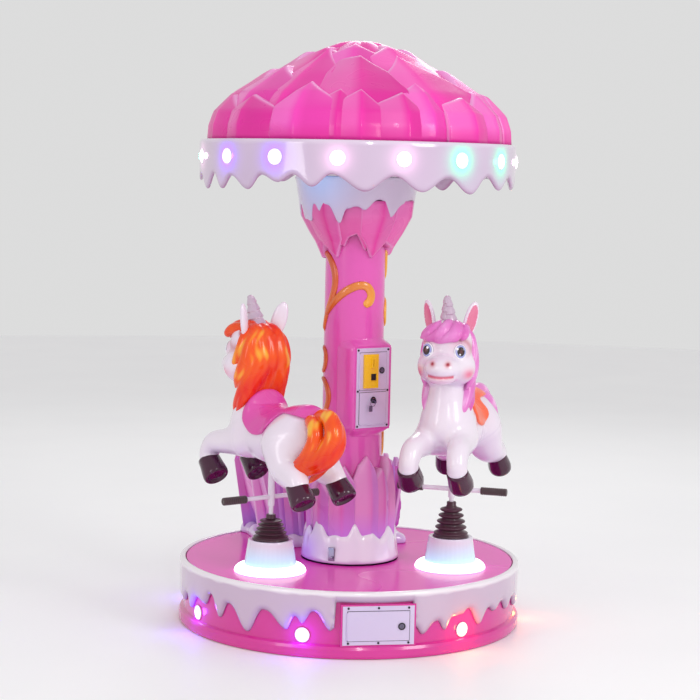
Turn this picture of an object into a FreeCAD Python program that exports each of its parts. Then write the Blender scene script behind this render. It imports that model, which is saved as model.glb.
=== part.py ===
import FreeCAD, Part
import math
import os

# Coin-operated carousel ride: a fixed round base and column carry a canopy, and a turntable
# between them carries two unicorns on lifting poles and a crystal sleigh.
# Millimetres, +Z up, front towards -Y. The origin is the centre of the base on the floor.
# Azimuths are degrees counter-clockwise from +X, seen from above.

V = FreeCAD.Vector
ORIGIN = V(0, 0, 0)
UP = V(0, 0, 1)

# ---- driving dimensions ----
BASE_R = 650
SKIRT_R = 632
SKIRT_TOP = 226
RIM_TOP = 241
DECK_TOP = 236
DECK_T = 14
DECK_R = 622
DECK_HOLE_R = 186
FLOOR_PLATE_Z = 22

COLUMN_R = 116          # outer radius at the deck
COLUMN_TAPER = 1 / 400  # radius lost per millimetre of height
COLUMN_Z0 = 238
COLUMN_Z1 = 1688
MAST_R = 38
MAST_TOP = 1765

VALANCE_R = 591
VALANCE_TOP = 1814
DOME_PROFILE = [(553, 1815), (549, 1868), (531, 1920), (500, 1952), (463, 1988), (400, 2022),
                (330, 2062), (236, 2110), (155, 2155), (80, 2184), (0, 2196)]

LIFT_R = 411            # distance of both pole axes from the column axis
LIFTS = {               # azimuth of the pole, heading of the unicorn, height above bottom of stroke
    "left": (225.0, 126.8, 12.0),
    "right": (337.0, 252.5, 34.0),
}
STROKE = 60
LOWEST_ROLLER_Z = 194
CAM_AXIS_Z = 160
CAM_T = 10
ROLLER_R = 8
SHAFT_R = 8
LEFT_SHIFT = LIFTS["left"][2]

SPOKE_AZIMUTHS = (281, 355, 65, 135, 207)

SLEIGH_AZ = 106.0
SLEIGH_R = 395

GEAR_MODULE = 6
RING_TEETH = 90
PINION_TEETH = 15
PINION_AZ = 62.0
BACKLASH = 0.3

DOOR_AZ = -80.2
DOOR_FACE = 636         # distance of the door frame's front face from the axis
COIN_AZ = -55.0
COIN_FACE = 130
LAMP_AZIMUTHS = (-150.5, -104.6, -49.8, 2, 54, 106, 158)
LAMP_Z = 78
LAMP_R = 27.5
CANOPY_LAMP_Z = 1752
CANOPY_LAMP_R = 24
LAMP_STEM = 0.76        # stem radius as a share of the flange radius
CANOPY_LAMPS = 16
CANOPY_LAMP_PHASE = -96.7

# Icing drips on the base: azimuth, height of the tip, half width
BASE_DRIPS = [(-165, 82, 20), (-150, 112, 16), (-139, 88, 18), (-125.4, 66, 26), (-111, 70, 22),
              (-104.6, 112, 14), (-96.5, 68, 18), (-64.5, 68, 24), (-56.5, 84, 20), (-41, 84, 22),
              (-33, 118, 14), (-25, 100, 18), (-14, 92, 20)]
BACK_DRIPS = 13

SKIN = 5                # wall of the moulded glass-fibre parts
PLATE = 2               # wall of the sheet-metal doors
GAP = 0.4               # clearance between a door and its frame
KNUCKLE_R = 2.2
KNUCKLE_OFF = 2.4


# ---- helpers ----
def fuse(shapes):
    first, rest = shapes[0], list(shapes[1:])
    return first.multiFuse(rest) if rest else first


def revolved(outline):
    """Ring or disc from a closed outline of (radius, height) points."""
    points = [V(r, 0, z) for r, z in outline]
    face = Part.Face(Part.makePolygon(points + points[:1]))
    return face.revolve(ORIGIN, UP, 360)


def tube(r_in, r_out, z0, z1):
    return revolved([(r_in, z0), (r_out, z0), (r_out, z1), (r_in, z1)])


def box(x0, x1, y0, y1, z0, z1):
    return Part.makeBox(x1 - x0, y1 - y0, z1 - z0, V(x0, y0, z0))


def rod(start, end, radius):
    along = end - start
    return Part.makeCylinder(radius, along.Length, start, along)


def facing(azimuth, shape):
    """Turns a shape built as seen from the front (facing -Y) to face an azimuth."""
    turned = shape.copy()
    turned.rotate(ORIGIN, UP, azimuth + 90)
    return turned


def radial_box(azimuth, d0, d1, u0, u1, z0, z1):
    return facing(azimuth, box(u0, u1, -d1, -d0, z0, z1))


def radial_rod(azimuth, d0, d1, u, z, radius):
    return facing(azimuth, rod(V(u, -d0, z), V(u, -d1, z), radius))


def extruded(outline, y0, y1):
    """Solid from a side outline of (x, z) points."""
    points = [V(x, y0, z) for x, z in outline]
    return Part.Face(Part.makePolygon(points + points[:1])).extrude(V(0, y1 - y0, 0))


def polyhedron(points, faces):
    shell = [Part.Face(Part.makePolygon([points[i] for i in f] + [points[f[0]]])) for f in faces]
    return Part.Solid(Part.Shell(shell))


def limb(*stations):
    """Rounded limb through (x, y, z, radius) stations: spheres joined by frustums."""
    pieces = []
    for x, y, z, r in stations:
        pieces.append(Part.makeSphere(r, V(x, y, z)))
    for a, b in zip(stations, stations[1:]):
        start, along = V(*a[:3]), V(*b[:3]) - V(*a[:3])
        pieces.append(Part.makeCone(a[3], b[3], along.Length, start, along))
    return fuse(pieces)


def crystal(azimuth, foot, shoulder, tip, half_width, depth):
    """Pointed crystal. foot, shoulder and tip are (distance, height) of its outer ridge."""
    points = []
    for (dist, z), share in ((foot, 0.7), (shoulder, 1.0)):
        w = half_width * share
        points += [V(-w, -dist + depth, z), V(w, -dist + depth, z),
                   V(w, -dist + depth * 0.3, z), V(0, -dist, z), V(-w, -dist + depth * 0.3, z)]
    points.append(V(0, -tip[0] + depth * 0.3, tip[1]))
    sides = [[i, (i + 1) % 5, 5 + (i + 1) % 5, 5 + i] for i in range(5)]
    tris = []
    for a, b, c, d in sides:
        tris += [[a, b, c], [a, c, d]]
    cap = [[5 + i, 5 + (i + 1) % 5, 10] for i in range(5)]
    return facing(azimuth, polyhedron(points, [[4, 3, 2, 1, 0]] + tris + cap))


def column_radius(z):
    return COLUMN_R - COLUMN_TAPER * (z - COLUMN_Z0)


def column_outside(extra=0):
    """Solid of the column's outer surface, for cutting what stands round it."""
    height = COLUMN_Z1 - COLUMN_Z0
    return Part.makeCone(COLUMN_R + extra, column_radius(COLUMN_Z1) + extra, height, V(0, 0, COLUMN_Z0))


PARTS = {}


def add(name, shape):
    PARTS[name] = shape


# ---- fixed base ----
def base_skirt():
    lip = [(640, 2), (646, 2), (BASE_R, 12), (BASE_R, 34), (645, 44), (SKIRT_R, 50)]
    wall = [(SKIRT_R - 2, SKIRT_TOP), (SKIRT_R - 9, SKIRT_TOP), (SKIRT_R - 9, 48), (638, 40), (640, 34)]
    skirt = revolved(lip + wall)
    boss = radial_box(DOOR_AZ, 606, DOOR_FACE - PLATE, -134, 134, 46, 196)
    skirt = fuse([skirt, boss]).cut(radial_box(DOOR_AZ, 560, 700, -112, 112, 63, 176))
    for azimuth in LAMP_AZIMUTHS:
        skirt = skirt.cut(radial_rod(azimuth, 600, 660, 0, LAMP_Z, LAMP_R * LAMP_STEM + 0.2))
    return skirt.cut(radial_rod(90, 600, 660, 0, 90, 10.2))


def drip(azimuth, tip, half, d0, d1, top):
    """One hanging drip, as a radial block with a round lower end."""
    tongue = radial_box(azimuth, d0, d1, -half, half, tip + half, top)
    return fuse([tongue, radial_rod(azimuth, d0, d1, 0, tip + half, half)])


def base_icing():
    inner = SKIRT_R + 0.5
    ring = revolved([(625, 227), (625, 238), (628, RIM_TOP), (638, RIM_TOP), (645, 237), (647, 228),
                     (643, 60), (inner, 60), (inner, 227)])
    drips = list(BASE_DRIPS)
    for i in range(BACK_DRIPS):
        tip = 86 + 16 * math.sin(2.3 * i)
        drips.append((2 + i * 180 / BACK_DRIPS, tip, 22 + 4 * math.cos(1.7 * i)))
    keep = [tube(600, 700, 150, RIM_TOP + 9)]
    keep += [drip(az, tip, half, 600, 680, 160) for az, tip, half in drips]
    icing = ring.common(fuse(keep))
    for azimuth in LAMP_AZIMUTHS:
        icing = icing.cut(radial_rod(azimuth, 600, 700, 0, LAMP_Z, LAMP_R + 2))
    return icing.cut(radial_box(DOOR_AZ, 560, 700, -142, 142, 0, 200))


def base_frame():
    plate = tube(0, 600, FLOOR_PLATE_Z, FLOOR_PLATE_Z + 4)
    flange = tube(595, 600, FLOOR_PLATE_Z, 58)
    pedestal = tube(205, 213, FLOOR_PLATE_Z + 4, 110)
    seat = tube(MAST_R + 0.2, MAST_R + 8, FLOOR_PLATE_Z + 4, 110)
    ribs = [radial_box(30 + 60 * i, MAST_R + 5, 596, -4, 4, FLOOR_PLATE_Z + 4, 56) for i in range(6)]
    frame = fuse([plate, flange, pedestal, seat] + ribs)
    for i in range(6):
        frame = frame.cut(radial_rod_up(60 * i, 560, 0, 60, 8.2))
    return frame


def radial_rod_up(azimuth, distance, z0, z1, radius):
    a = math.radians(azimuth)
    foot = V(distance * math.cos(a), distance * math.sin(a), z0)
    return Part.makeCylinder(radius, z1 - z0, foot)


def levelling_feet():
    feet = []
    centre = Part.makeCylinder(40, FLOOR_PLATE_Z - 0.1, ORIGIN)
    feet.append(centre)
    for i in range(6):
        pad = radial_rod_up(60 * i, 560, 0, 10, 24)
        stem = radial_rod_up(60 * i, 560, 8, 44, 8)
        nut = radial_rod_up(60 * i, 560, 12, FLOOR_PLATE_Z - 0.1, 14)
        feet.append(fuse([pad, stem, nut]))
    return Part.Compound(feet)


def centre_mast():
    mast = tube(MAST_R - 5, MAST_R, FLOOR_PLATE_Z + 4, MAST_TOP)
    flange = tube(MAST_R - 1, COLUMN_R - 4, 228, COLUMN_Z0 - 0.1)
    return fuse([mast, flange])


def control_box():
    case = radial_box(DOOR_AZ, 548, 606, -95, 95, 66, 158)
    lid = radial_box(DOOR_AZ, 606, 609, -90, 90, 70, 154)
    bracket = radial_box(DOOR_AZ, 550, 590, -60, 60, FLOOR_PLATE_Z + 4, 66)
    return fuse([case, lid, bracket])


def power_inlet():
    body = radial_rod(90, 600, 646, 0, 90, 10)
    nut = radial_rod(90, 608, SKIRT_R - 9.1, 0, 90, 15)
    head = radial_rod(90, 644, 649, 0, 90, 14)
    return fuse([body, nut, head]).cut(radial_rod(90, 590, 660, 0, 90, 4.5))


def led_lamp(azimuth, face, z, radius):
    """Screw-in lamp: stem through the wall, flange and domed lens."""
    stem = radial_rod(azimuth, face - 26, face + 1, 0, z, radius * LAMP_STEM)
    flange = radial_rod(azimuth, face, face + 4, 0, z, radius)
    lens = facing(azimuth, Part.makeCone(radius * 0.9, radius * 0.5, 8, V(0, -face - 4, z), V(0, -1, 0)))
    return fuse([stem, flange, lens])


def led_lamps():
    lamps = [led_lamp(az, SKIRT_R + 0.6, LAMP_Z, LAMP_R) for az in LAMP_AZIMUTHS]
    for i in range(CANOPY_LAMPS):
        azimuth = CANOPY_LAMP_PHASE + i * 360 / CANOPY_LAMPS
        lamps.append(led_lamp(azimuth, VALANCE_R + 0.6, CANOPY_LAMP_Z, CANOPY_LAMP_R))
    return Part.Compound(lamps)


# ---- column ----
def column_shell():
    r0, r1 = COLUMN_R, column_radius(COLUMN_Z1)
    shell = revolved([(r0 - SKIN, COLUMN_Z0), (r0, COLUMN_Z0), (r1, COLUMN_Z1), (r1 - SKIN, COLUMN_Z1)])
    boss = radial_box(COIN_AZ, 78, COIN_FACE - PLATE, -82, 82, 742, 1058)
    inside = Part.makeCone(r0 - SKIN, r1 - SKIN, COLUMN_Z1 - COLUMN_Z0, V(0, 0, COLUMN_Z0))
    return fuse([shell, boss.cut(inside)]).cut(radial_box(COIN_AZ, 59, 140, -68, 68, 757, 1043))


def vine_run(azimuth0, z0, azimuth1, z1, steps, half_width):
    """Straight strips along a rise that levels off, still to be trimmed to the column's surface."""
    half_step = 1.15 * COLUMN_R * math.radians(azimuth1 - azimuth0) / steps / 2
    strips = []
    for i in range(steps):
        low = z0 + (z1 - z0) * math.sin(i / steps * math.pi / 2)
        high = z0 + (z1 - z0) * math.sin((i + 1) / steps * math.pi / 2)
        side = [(-half_step, low - half_width), (half_step, high - half_width),
                (half_step, high + half_width), (-half_step, low + half_width)]
        strips.append(facing(azimuth0 + (azimuth1 - azimuth0) * (i + 0.5) / steps, extruded(side, -140, -95)))
    return strips


def vine_relief():
    strips = vine_run(-175, 1040, -150, 1310, 4, 26)
    strips += vine_run(-155, 1170, -68, 1240, 5, 13)
    strips += vine_run(-30, 1120, 10, 1310, 4, 26)
    strips += vine_run(-10, 640, 30, 900, 4, 26)
    return column_outside(9).cut(column_outside()).common(fuse(strips))


def foot_collar():
    snow = revolved([(COLUMN_R - 2, 334), (168, 330), (180, 240), (175, 240), (163, 325), (COLUMN_R - 2, 329)])
    peaks = []
    for i in range(9):
        a = math.radians(-83 + 40 * i)
        height = 30 + 8 * math.cos(2.1 * i)
        peaks.append(Part.makeCone(22, 3, height, V(150 * math.cos(a), 150 * math.sin(a), 326)))
    return fuse([snow] + peaks).cut(column_outside())


def foot_crystals():
    leaves = []
    for i in range(9):
        top = 590 + 45 * math.cos(1.9 * i)
        leaves.append(crystal(-63 + 40 * i, (150, 372), (166, 470), (158, top), 44, 60))
    return fuse(leaves).cut(column_outside())


def capital_crystals():
    leaves = []
    for i in range(9):
        low = 1350 + 34 * math.cos(2.3 * i)
        leaves.append(crystal(-80 + 40 * i, (196, 1514), (176, 1450), (118, low), 58, 90))
    return fuse(leaves).cut(column_outside())


def capital_icing():
    skin = revolved([(column_radius(1660), 1686), (231, 1686), (228, 1640), (205, 1518), (199, 1518),
                     (222, 1640), (224, 1680), (column_radius(1660), 1680)])
    return skin.cut(column_outside())


# ---- canopy ----
def canopy_frame():
    hub = tube(MAST_R + 0.2, 60, 1712, 1762)
    arms = [radial_box(22.5 + 45 * i, 56, 542, -12, 12, 1728, 1754) for i in range(8)]
    ring = tube(541, 544, 1700, VALANCE_TOP - 7)
    return fuse([hub, ring] + arms)


def ceiling_panel():
    return tube(column_radius(COLUMN_Z1) + 0.5, 572, 1690, 1696)


def canopy_valance():
    wall = tube(VALANCE_R - 9, VALANCE_R, 1636, VALANCE_TOP)
    keep = [tube(540, 620, 1692, VALANCE_TOP + 6)]
    for i in range(24):
        tip = 1640 + 10 * (1 + math.sin(2.6 * i))
        keep.append(drip(-87.3 + 15 * i, tip, 34 + 5 * math.cos(1.9 * i), 540, 620, 1710))
    flange = tube(546, VALANCE_R - 5, VALANCE_TOP - 6, VALANCE_TOP)
    ledge = tube(572.5, VALANCE_R - 8, 1690, 1696)
    valance = fuse([wall.common(fuse(keep)), flange, ledge])
    for i in range(CANOPY_LAMPS):
        azimuth = CANOPY_LAMP_PHASE + i * 360 / CANOPY_LAMPS
        hole_r = CANOPY_LAMP_R * LAMP_STEM + 0.2
        valance = valance.cut(radial_rod(azimuth, 575, 600, 0, CANOPY_LAMP_Z, hole_r))
    return valance


def canopy_dome():
    inner = [(max(r - 6, 0), z - 6) for r, z in DOME_PROFILE[1:]]
    return revolved(DOME_PROFILE + inner[::-1] + [(DOME_PROFILE[0][0] - 6, DOME_PROFILE[0][1])])


# ---- hinged panels, built facing -Y ----
def knuckles(anchor, along, length):
    """Fixed pin with end knuckles, and the door's middle knuckle, along one axis."""
    third = length / 3
    pin = rod(anchor, anchor + along * length, KNUCKLE_R / 2)
    ends = [rod(anchor, anchor + along * third, KNUCKLE_R),
            rod(anchor + along * (2 * third), anchor + along * length, KNUCKLE_R)]
    middle = rod(anchor + along * (third + 0.4), anchor + along * (2 * third - 0.4), KNUCKLE_R)
    return fuse([pin] + ends), middle, rod(anchor, anchor + along * length, KNUCKLE_R / 2 + 0.05)


def left_hinged(x0, x1, z0, z1, face):
    """Overlay door with its hinge on the left edge: frame part and door."""
    ax, ay = x0 - KNUCKLE_OFF, -face - KNUCKLE_OFF
    fixed, middle, bore = knuckles(V(ax, ay, z0 + 4), UP, z1 - z0 - 8)
    third = (z1 - z0 - 8) / 3
    feet = [box(ax - 2, ax, ay, -face + 0.2, z, z + third) for z in (z0 + 4, z0 + 4 + 2 * third)]
    plate = box(x0, x1, -face - GAP - PLATE, -face - GAP, z0, z1)
    strip = box(ax, x0, -face - GAP - PLATE, -face - GAP, z0 + 4.4 + third, z0 + 3.6 + 2 * third)
    return fuse([fixed] + feet), fuse([plate, strip, middle]).cut(bore)


def bottom_hinged(x0, x1, z0, z1, face):
    """Overlay door with its hinge on the lower edge: frame part and door."""
    ay, az = -face - KNUCKLE_OFF, z0 - KNUCKLE_OFF
    fixed, middle, bore = knuckles(V(x0 + 4, ay, az), V(1, 0, 0), x1 - x0 - 8)
    third = (x1 - x0 - 8) / 3
    feet = [box(x, x + third, ay, -face + 0.2, az - 2, az) for x in (x0 + 4, x0 + 4 + 2 * third)]
    plate = box(x0, x1, -face - GAP - PLATE, -face - GAP, z0, z1)
    strip = box(x0 + 4.4 + third, x0 + 3.6 + 2 * third, -face - GAP - PLATE, -face - GAP, az, z0)
    return fuse([fixed] + feet), fuse([plate, strip, middle]).cut(bore)


def cam_lock(x, z, face, radius, reach, tongue_up, keyhole=True):
    """Lock plug through a door, with its tongue behind; the tongue starts unlocked."""
    front = -face - GAP - PLATE
    plug = rod(V(x, front + 0.1, z), V(x, front + 18, z), radius)
    flange = rod(V(x, front - 0.1, z), V(x, front - 3, z), radius + 3)
    neck = rod(V(x, front - 1, z), V(x, front + 1, z), radius)
    if tongue_up:
        tongue = box(x - 5, x + 5, front + 15, front + 18, z, z + reach)
    else:
        tongue = box(x, x + reach, front + 15, front + 18, z - 5, z + 5)
    lock = fuse([plug, flange, neck, tongue])
    if keyhole:
        lock = lock.cut(box(x - 1, x + 1, front - 4, front - 1, z - radius * 0.6, z + radius * 0.6))
    return lock


def access_panel():
    x0, x1, z0, z1 = -110, 110, 66, 171
    lock_x, lock_z, lock_r = 82.6, 117, 9
    fixed, door = left_hinged(x0, x1, z0, z1, DOOR_FACE)
    frame = box(-128, 128, -DOOR_FACE, -DOOR_FACE + PLATE, 51, 190)
    frame = frame.cut(box(-104, 104, -DOOR_FACE - 1, -DOOR_FACE + 3, 72, 165))
    for x in (-108, 0, 108):
        for z in (58, 183):
            frame = frame.cut(rod(V(x, -DOOR_FACE - 1, z), V(x, -DOOR_FACE + 3, z), 2.2))
    door = door.cut(rod(V(lock_x, -DOOR_FACE - 9, lock_z), V(lock_x, -DOOR_FACE + 9, lock_z), lock_r + 0.1))
    add("access_frame", facing(DOOR_AZ, fuse([frame, fixed])))
    add("access_door", facing(DOOR_AZ, door))
    add("access_lock", facing(DOOR_AZ, cam_lock(lock_x, lock_z, DOOR_FACE, lock_r, 26, True)))


def key_bunch(x, z, front):
    """Key standing in the lock, with a ring and a spare key hanging from its bow."""
    bow = rod(V(x, front - 12, z - 4), V(x, front - 12, z - 4) + V(2, 0, 0), 9)
    blade = box(x + 0.4, x + 1.6, front - 8, front - 2, z - 3, z + 3)
    ring = Part.makeTorus(11, 1, V(x - 9, front - 13, z - 12), V(0, 1, 0))
    spare = box(x - 26, x - 12, front - 15, front - 12.5, z - 42, z - 20)
    return fuse([bow, blade, ring, spare])


def coin_panel():
    f = COIN_FACE
    plate = box(-74, 74, -f, -f + PLATE, 750, 1050)
    plate = plate.cut(box(-54, 54, -f - 1, -f + 3, 899, 1027))
    plate = plate.cut(box(-54, 54, -f - 1, -f + 3, 769, 877))
    case = box(-58, 58, -f + PLATE, -62, 761, 885).cut(box(-56.5, 56.5, -f, -63.5, 762.5, 883.5))
    case = case.cut(box(-20, 20, -100, -80, 880, 890))
    for x in (-68, 68):
        for z in (757, 889, 1043):
            plate = plate.cut(rod(V(x, -f - 1, z), V(x, -f + 3, z), 2.2))
    coin_fixed, coin_door = left_hinged(-60, 60, 893, 1033, f)
    cash_fixed, cash_door = bottom_hinged(-60, 60, 764, 883, f)
    acceptor_x, acceptor_z = -14, 964
    front = -f - GAP - PLATE
    coin_door = coin_door.cut(box(acceptor_x - 27, acceptor_x + 27, front - 1, -f + 1, 908, 1020))
    coin_door = coin_door.cut(rod(V(38, -f - 9, 965), V(38, -f + 9, 965), 8.1))
    cash_door = cash_door.cut(rod(V(1, -f - 9, 855), V(1, -f + 9, 855), 8.1))

    x, z = acceptor_x, acceptor_z
    bezel = box(x - 32, x + 32, front - 9, front - 0.1, z - 63.5, z + 63.5)
    slot_guide = box(x - 3, x + 13, front - 15, front - 8, z + 12, z + 52)
    mech = box(x - 26, x + 26, front - 1, -88, z - 55, z + 55)
    acceptor = fuse([bezel, slot_guide, mech])
    acceptor = acceptor.cut(box(x + 3.3, x + 6.7, front - 16, front + 8, z + 18, z + 46))
    acceptor = acceptor.cut(box(x - 2, x + 22, front - 10, front - 5, z - 37, z - 9))
    pivot = V(x + 10, front - 7, z - 12)
    flap = box(x - 0.5, x + 20.5, front - 8, front - 6, z - 34, z - 13)
    flap = fuse([flap, rod(pivot - V(11, 0, 0), pivot + V(11, 0, 0), 1.6)])

    add("coin_panel", facing(COIN_AZ, fuse([plate, case, coin_fixed, cash_fixed])))
    add("coin_door", facing(COIN_AZ, coin_door))
    add("coin_acceptor", facing(COIN_AZ, acceptor))
    add("return_flap", facing(COIN_AZ, flap))
    add("coin_lock", facing(COIN_AZ, cam_lock(38, 965, f, 8, 19, True)))
    add("cash_door", facing(COIN_AZ, cash_door))
    lock = cam_lock(1, 855, f, 8, 24, False, keyhole=False)
    add("cash_lock", facing(COIN_AZ, fuse([lock, key_bunch(1, 855, front)])))


def screw(azimuth, x, z, face):
    """Pan-head screw through a plate."""
    head = radial_rod(azimuth, face + 0.05, face + 2, x, z, 4)
    return fuse([head, radial_rod(azimuth, face - PLATE, face + 0.5, x, z, 2)])


def panel_screws():
    screws = [screw(DOOR_AZ, x, z, DOOR_FACE) for x in (-108, 0, 108) for z in (58, 183)]
    screws += [screw(COIN_AZ, x, z, COIN_FACE) for x in (-68, 68) for z in (757, 889, 1043)]
    return Part.Compound(screws)


# ---- turntable drive ----
def gear_face(teeth, module, thin):
    """Involute gear outline as a face, with one tooth centred on +X."""
    pitch, pressure = teeth * module / 2, math.radians(20)
    base, tip, root = pitch * math.cos(pressure), pitch + module, pitch - 1.25 * module
    half = math.pi / (2 * teeth) - thin / (2 * pitch) + math.tan(pressure) - pressure
    flank = []
    start = max(base, root + 0.2)
    for i in range(5):
        r = start + (tip - start) * i / 4
        roll = math.acos(base / r)
        flank.append((r, half - (math.tan(roll) - roll)))
    points = []
    for k in range(teeth):
        centre = 2 * math.pi * k / teeth
        side = [(root, flank[0][1])] + flank
        for r, a in side:
            points.append(V(r * math.cos(centre - a), r * math.sin(centre - a), 0))
        for r, a in side[::-1]:
            points.append(V(r * math.cos(centre + a), r * math.sin(centre + a), 0))
    return Part.Face(Part.makePolygon(points + points[:1]))


def ring_gear():
    gear = gear_face(RING_TEETH, GEAR_MODULE, BACKLASH).extrude(V(0, 0, 43))
    gear.translate(V(0, 0, 117))
    return gear.cut(Part.makeCylinder(233.4, 60, V(0, 0, 110)))


def bearing_inner_ring():
    return revolved([(205, 110.1), (256, 110.1), (256, 116), (233, 116), (233, 160), (205, 160)])


def pinion_centre():
    distance = (RING_TEETH + PINION_TEETH) * GEAR_MODULE / 2 + BACKLASH
    a = math.radians(PINION_AZ)
    return V(distance * math.cos(a), distance * math.sin(a), 0)


def drive_pinion():
    gear = gear_face(PINION_TEETH, GEAR_MODULE, BACKLASH).extrude(V(0, 0, 32))
    gear.rotate(ORIGIN, UP, PINION_AZ + 180)
    gear.translate(pinion_centre() + V(0, 0, 122))
    return fuse([gear, Part.makeCylinder(10, 66, pinion_centre() + V(0, 0, 60))])


def turntable_motor():
    centre = pinion_centre()
    plate = Part.makeCylinder(52, 8, centre + V(0, 0, FLOOR_PLATE_Z + 4))
    gearbox = Part.makeCylinder(42, 78, centre + V(0, 0, 34))
    a = math.radians(PINION_AZ + 90)
    side = V(math.cos(a), math.sin(a), 0)
    motor = rod(centre + V(0, 0, 72) + side * 30, centre + V(0, 0, 72) + side * 150, 28)
    bore = Part.makeCylinder(10.05, 60, centre + V(0, 0, 59))
    return fuse([plate, gearbox, motor]).cut(bore)


def slip_ring():
    drum = tube(MAST_R + 0.1, 60, 166, 208)
    for z in (172, 184, 196):
        drum = drum.cut(tube(57, 61, z, z + 6))
    return drum


# ---- turntable ----
def lift_point(side, z=0):
    a = math.radians(LIFTS[side][0])
    return V(LIFT_R * math.cos(a), LIFT_R * math.sin(a), z)


def at_lift(side, shape):
    """Moves a shape built about the pole axis, facing -Y outwards, to its lift."""
    moved = facing(LIFTS[side][0], shape)
    moved.translate(lift_point(side))
    return moved


def deck():
    plate = tube(DECK_HOLE_R, DECK_R, DECK_TOP - DECK_T, DECK_TOP)
    for side in LIFTS:
        plate = plate.cut(Part.makeCylinder(90, 60, lift_point(side, 200)))
    return plate


def deck_frame():
    top = DECK_TOP - DECK_T - 0.1
    hub = tube(234, 262, 160.1, top)
    outer = tube(590, 606, 200, top)
    spokes = [radial_box(azimuth, 250, 598, -15, 15, 188, top) for azimuth in SPOKE_AZIMUTHS]
    rails = [radial_box(LIFTS[s][0], 240, 590, u - 6, u + 6, 188, top) for s in LIFTS for u in (-100, 100)]
    return fuse([hub, outer] + spokes + rails)


def lift_frame():
    """Two cheek plates, a bridge with the guide tube, and lugs to the deck rails."""
    parts = []
    for y0 in (-36, 28):
        parts.append(box(-40, 40, y0, y0 + 8, 118, 300))
        parts.append(box(-93.9, 93.9, y0, y0 + 8, 202, 217.8))
    parts.append(box(-40, 40, -36, 36, 300, 308))
    parts.append(Part.makeCylinder(15, 78, V(0, 0, 268)))
    frame = fuse(parts).cut(Part.makeCylinder(8.6, 120, V(0, 0, 250)))
    return frame.cut(rod(V(0, -50, CAM_AXIS_Z), V(0, 50, CAM_AXIS_Z), SHAFT_R + 0.05))


def lift_motor():
    gearbox = box(-35, 35, -97, -36.2, 115, 186)
    motor = rod(V(30, -67, CAM_AXIS_Z), V(115, -67, CAM_AXIS_Z), 24)
    bore = rod(V(0, -30, CAM_AXIS_Z), V(0, -62, CAM_AXIS_Z), SHAFT_R + 0.05)
    return fuse([gearbox, motor]).cut(bore)


def cam_profile(turned):
    """Heart cam whose roller rises evenly over half a turn, as a face in the XZ plane."""
    steps, sweep = 24, math.pi
    pitch0 = LOWEST_ROLLER_Z - CAM_AXIS_Z
    rise = STROKE / sweep
    points = []
    for i in range(2 * steps):
        r = pitch0 + rise * min(i, 2 * steps - i) * sweep / steps
        slope = rise if i < steps else -rise
        if i in (0, steps):
            slope = 0
        length = math.hypot(r, slope)
        off = ROLLER_R + 0.5
        points.append((i * sweep / steps, r - off * r / length, off * slope / length))
    outline = []
    for angle, pr, pt in points:
        a = angle + turned
        outline.append(V(pr * math.sin(a) + pt * math.cos(a), 0, pr * math.cos(a) - pt * math.sin(a)))
    return Part.Face(Part.makePolygon(outline + outline[:1]))


def lift_cam(side):
    """Cam on its cross shaft, turned so that the roller stands at this lift's height."""
    turned = -LIFTS[side][2] / STROKE * math.pi
    disc = cam_profile(turned).extrude(V(0, CAM_T, 0))
    disc.translate(V(0, -CAM_T / 2, 0))
    shaft = rod(V(0, 36, 0), V(0, -60, 0), SHAFT_R)
    hub = rod(V(0, 14, 0), V(0, -14, 0), 18)
    cam = fuse([disc, shaft, hub])
    cam.translate(V(0, 0, CAM_AXIS_Z))
    return at_lift(side, cam)


def lift_housing():
    skin = revolved([(92, DECK_TOP + 0.1), (98, DECK_TOP + 0.1), (82, 354), (60, 354), (60, 349), (77, 349)])
    flange = tube(91, 110, DECK_TOP + 0.1, DECK_TOP + 4)
    return fuse([skin, flange])


def light_ring():
    return revolved([(99, DECK_TOP + 4.1), (133, DECK_TOP + 4.1), (133, 250), (128, 260), (118, 266),
                     (104, 262), (99, 256)])


def bellows(neck_z):
    """Folded rubber boot from the housing's top to the pole."""
    foot, folds = 354.1, 5
    pitch = (neck_z - 14 - foot - 4) / folds
    outer = [(67, foot), (67, foot + 4)]
    for i in range(folds):
        crest = 64 - 9 * i
        z = foot + 4 + i * pitch
        outer += [(crest, z + 0.45 * pitch), (crest - 13, z + pitch)]
    outer += [(17, neck_z - 8), (17, neck_z)]
    inner = [(max(r - 2.5, 8.8), z) for r, z in outer[1:-1]]
    return revolved(outer + [(8.8, neck_z)] + inner[::-1] + [(61, foot)])


def sleigh_tub():
    outer = [(-232, 264), (236, 264), (270, 524), (238, 528), (205, 432), (-110, 432), (-185, 452),
             (-300, 628), (-330, 618), (-262, 380)]
    cavity = [(-8, 276), (222, 276), (250, 700), (-330, 700), (-170, 402), (-8, 402)]
    under_seat = [(-218, 264), (-22, 264), (-22, 388), (-180, 388), (-244, 380)]
    tub = extruded(outer, -172, 150).cut(extruded(cavity, -158, 136))
    return at_sleigh(tub.cut(extruded(under_seat, -158, 136)))


def sleigh_snow():
    slab = box(-240, 240, -175, 152, DECK_TOP + 0.1, 263.9)
    mounds = [Part.makeSphere(34, V(-200 + 80 * i, -158, 250)) for i in range(6)]
    mounds += [Part.makeSphere(34, V(-200 + 80 * i, 136, 250)) for i in range(6)]
    snow = fuse([slab] + mounds)
    return at_sleigh(snow.common(box(-245, 245, -178, 156, DECK_TOP + 0.1, 263.9)))


def at_sleigh(shape):
    moved = shape.copy()
    moved.rotate(ORIGIN, UP, SLEIGH_AZ - 90)
    a = math.radians(SLEIGH_AZ)
    moved.translate(V(SLEIGH_R * math.cos(a), SLEIGH_R * math.sin(a), 0))
    return moved


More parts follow.
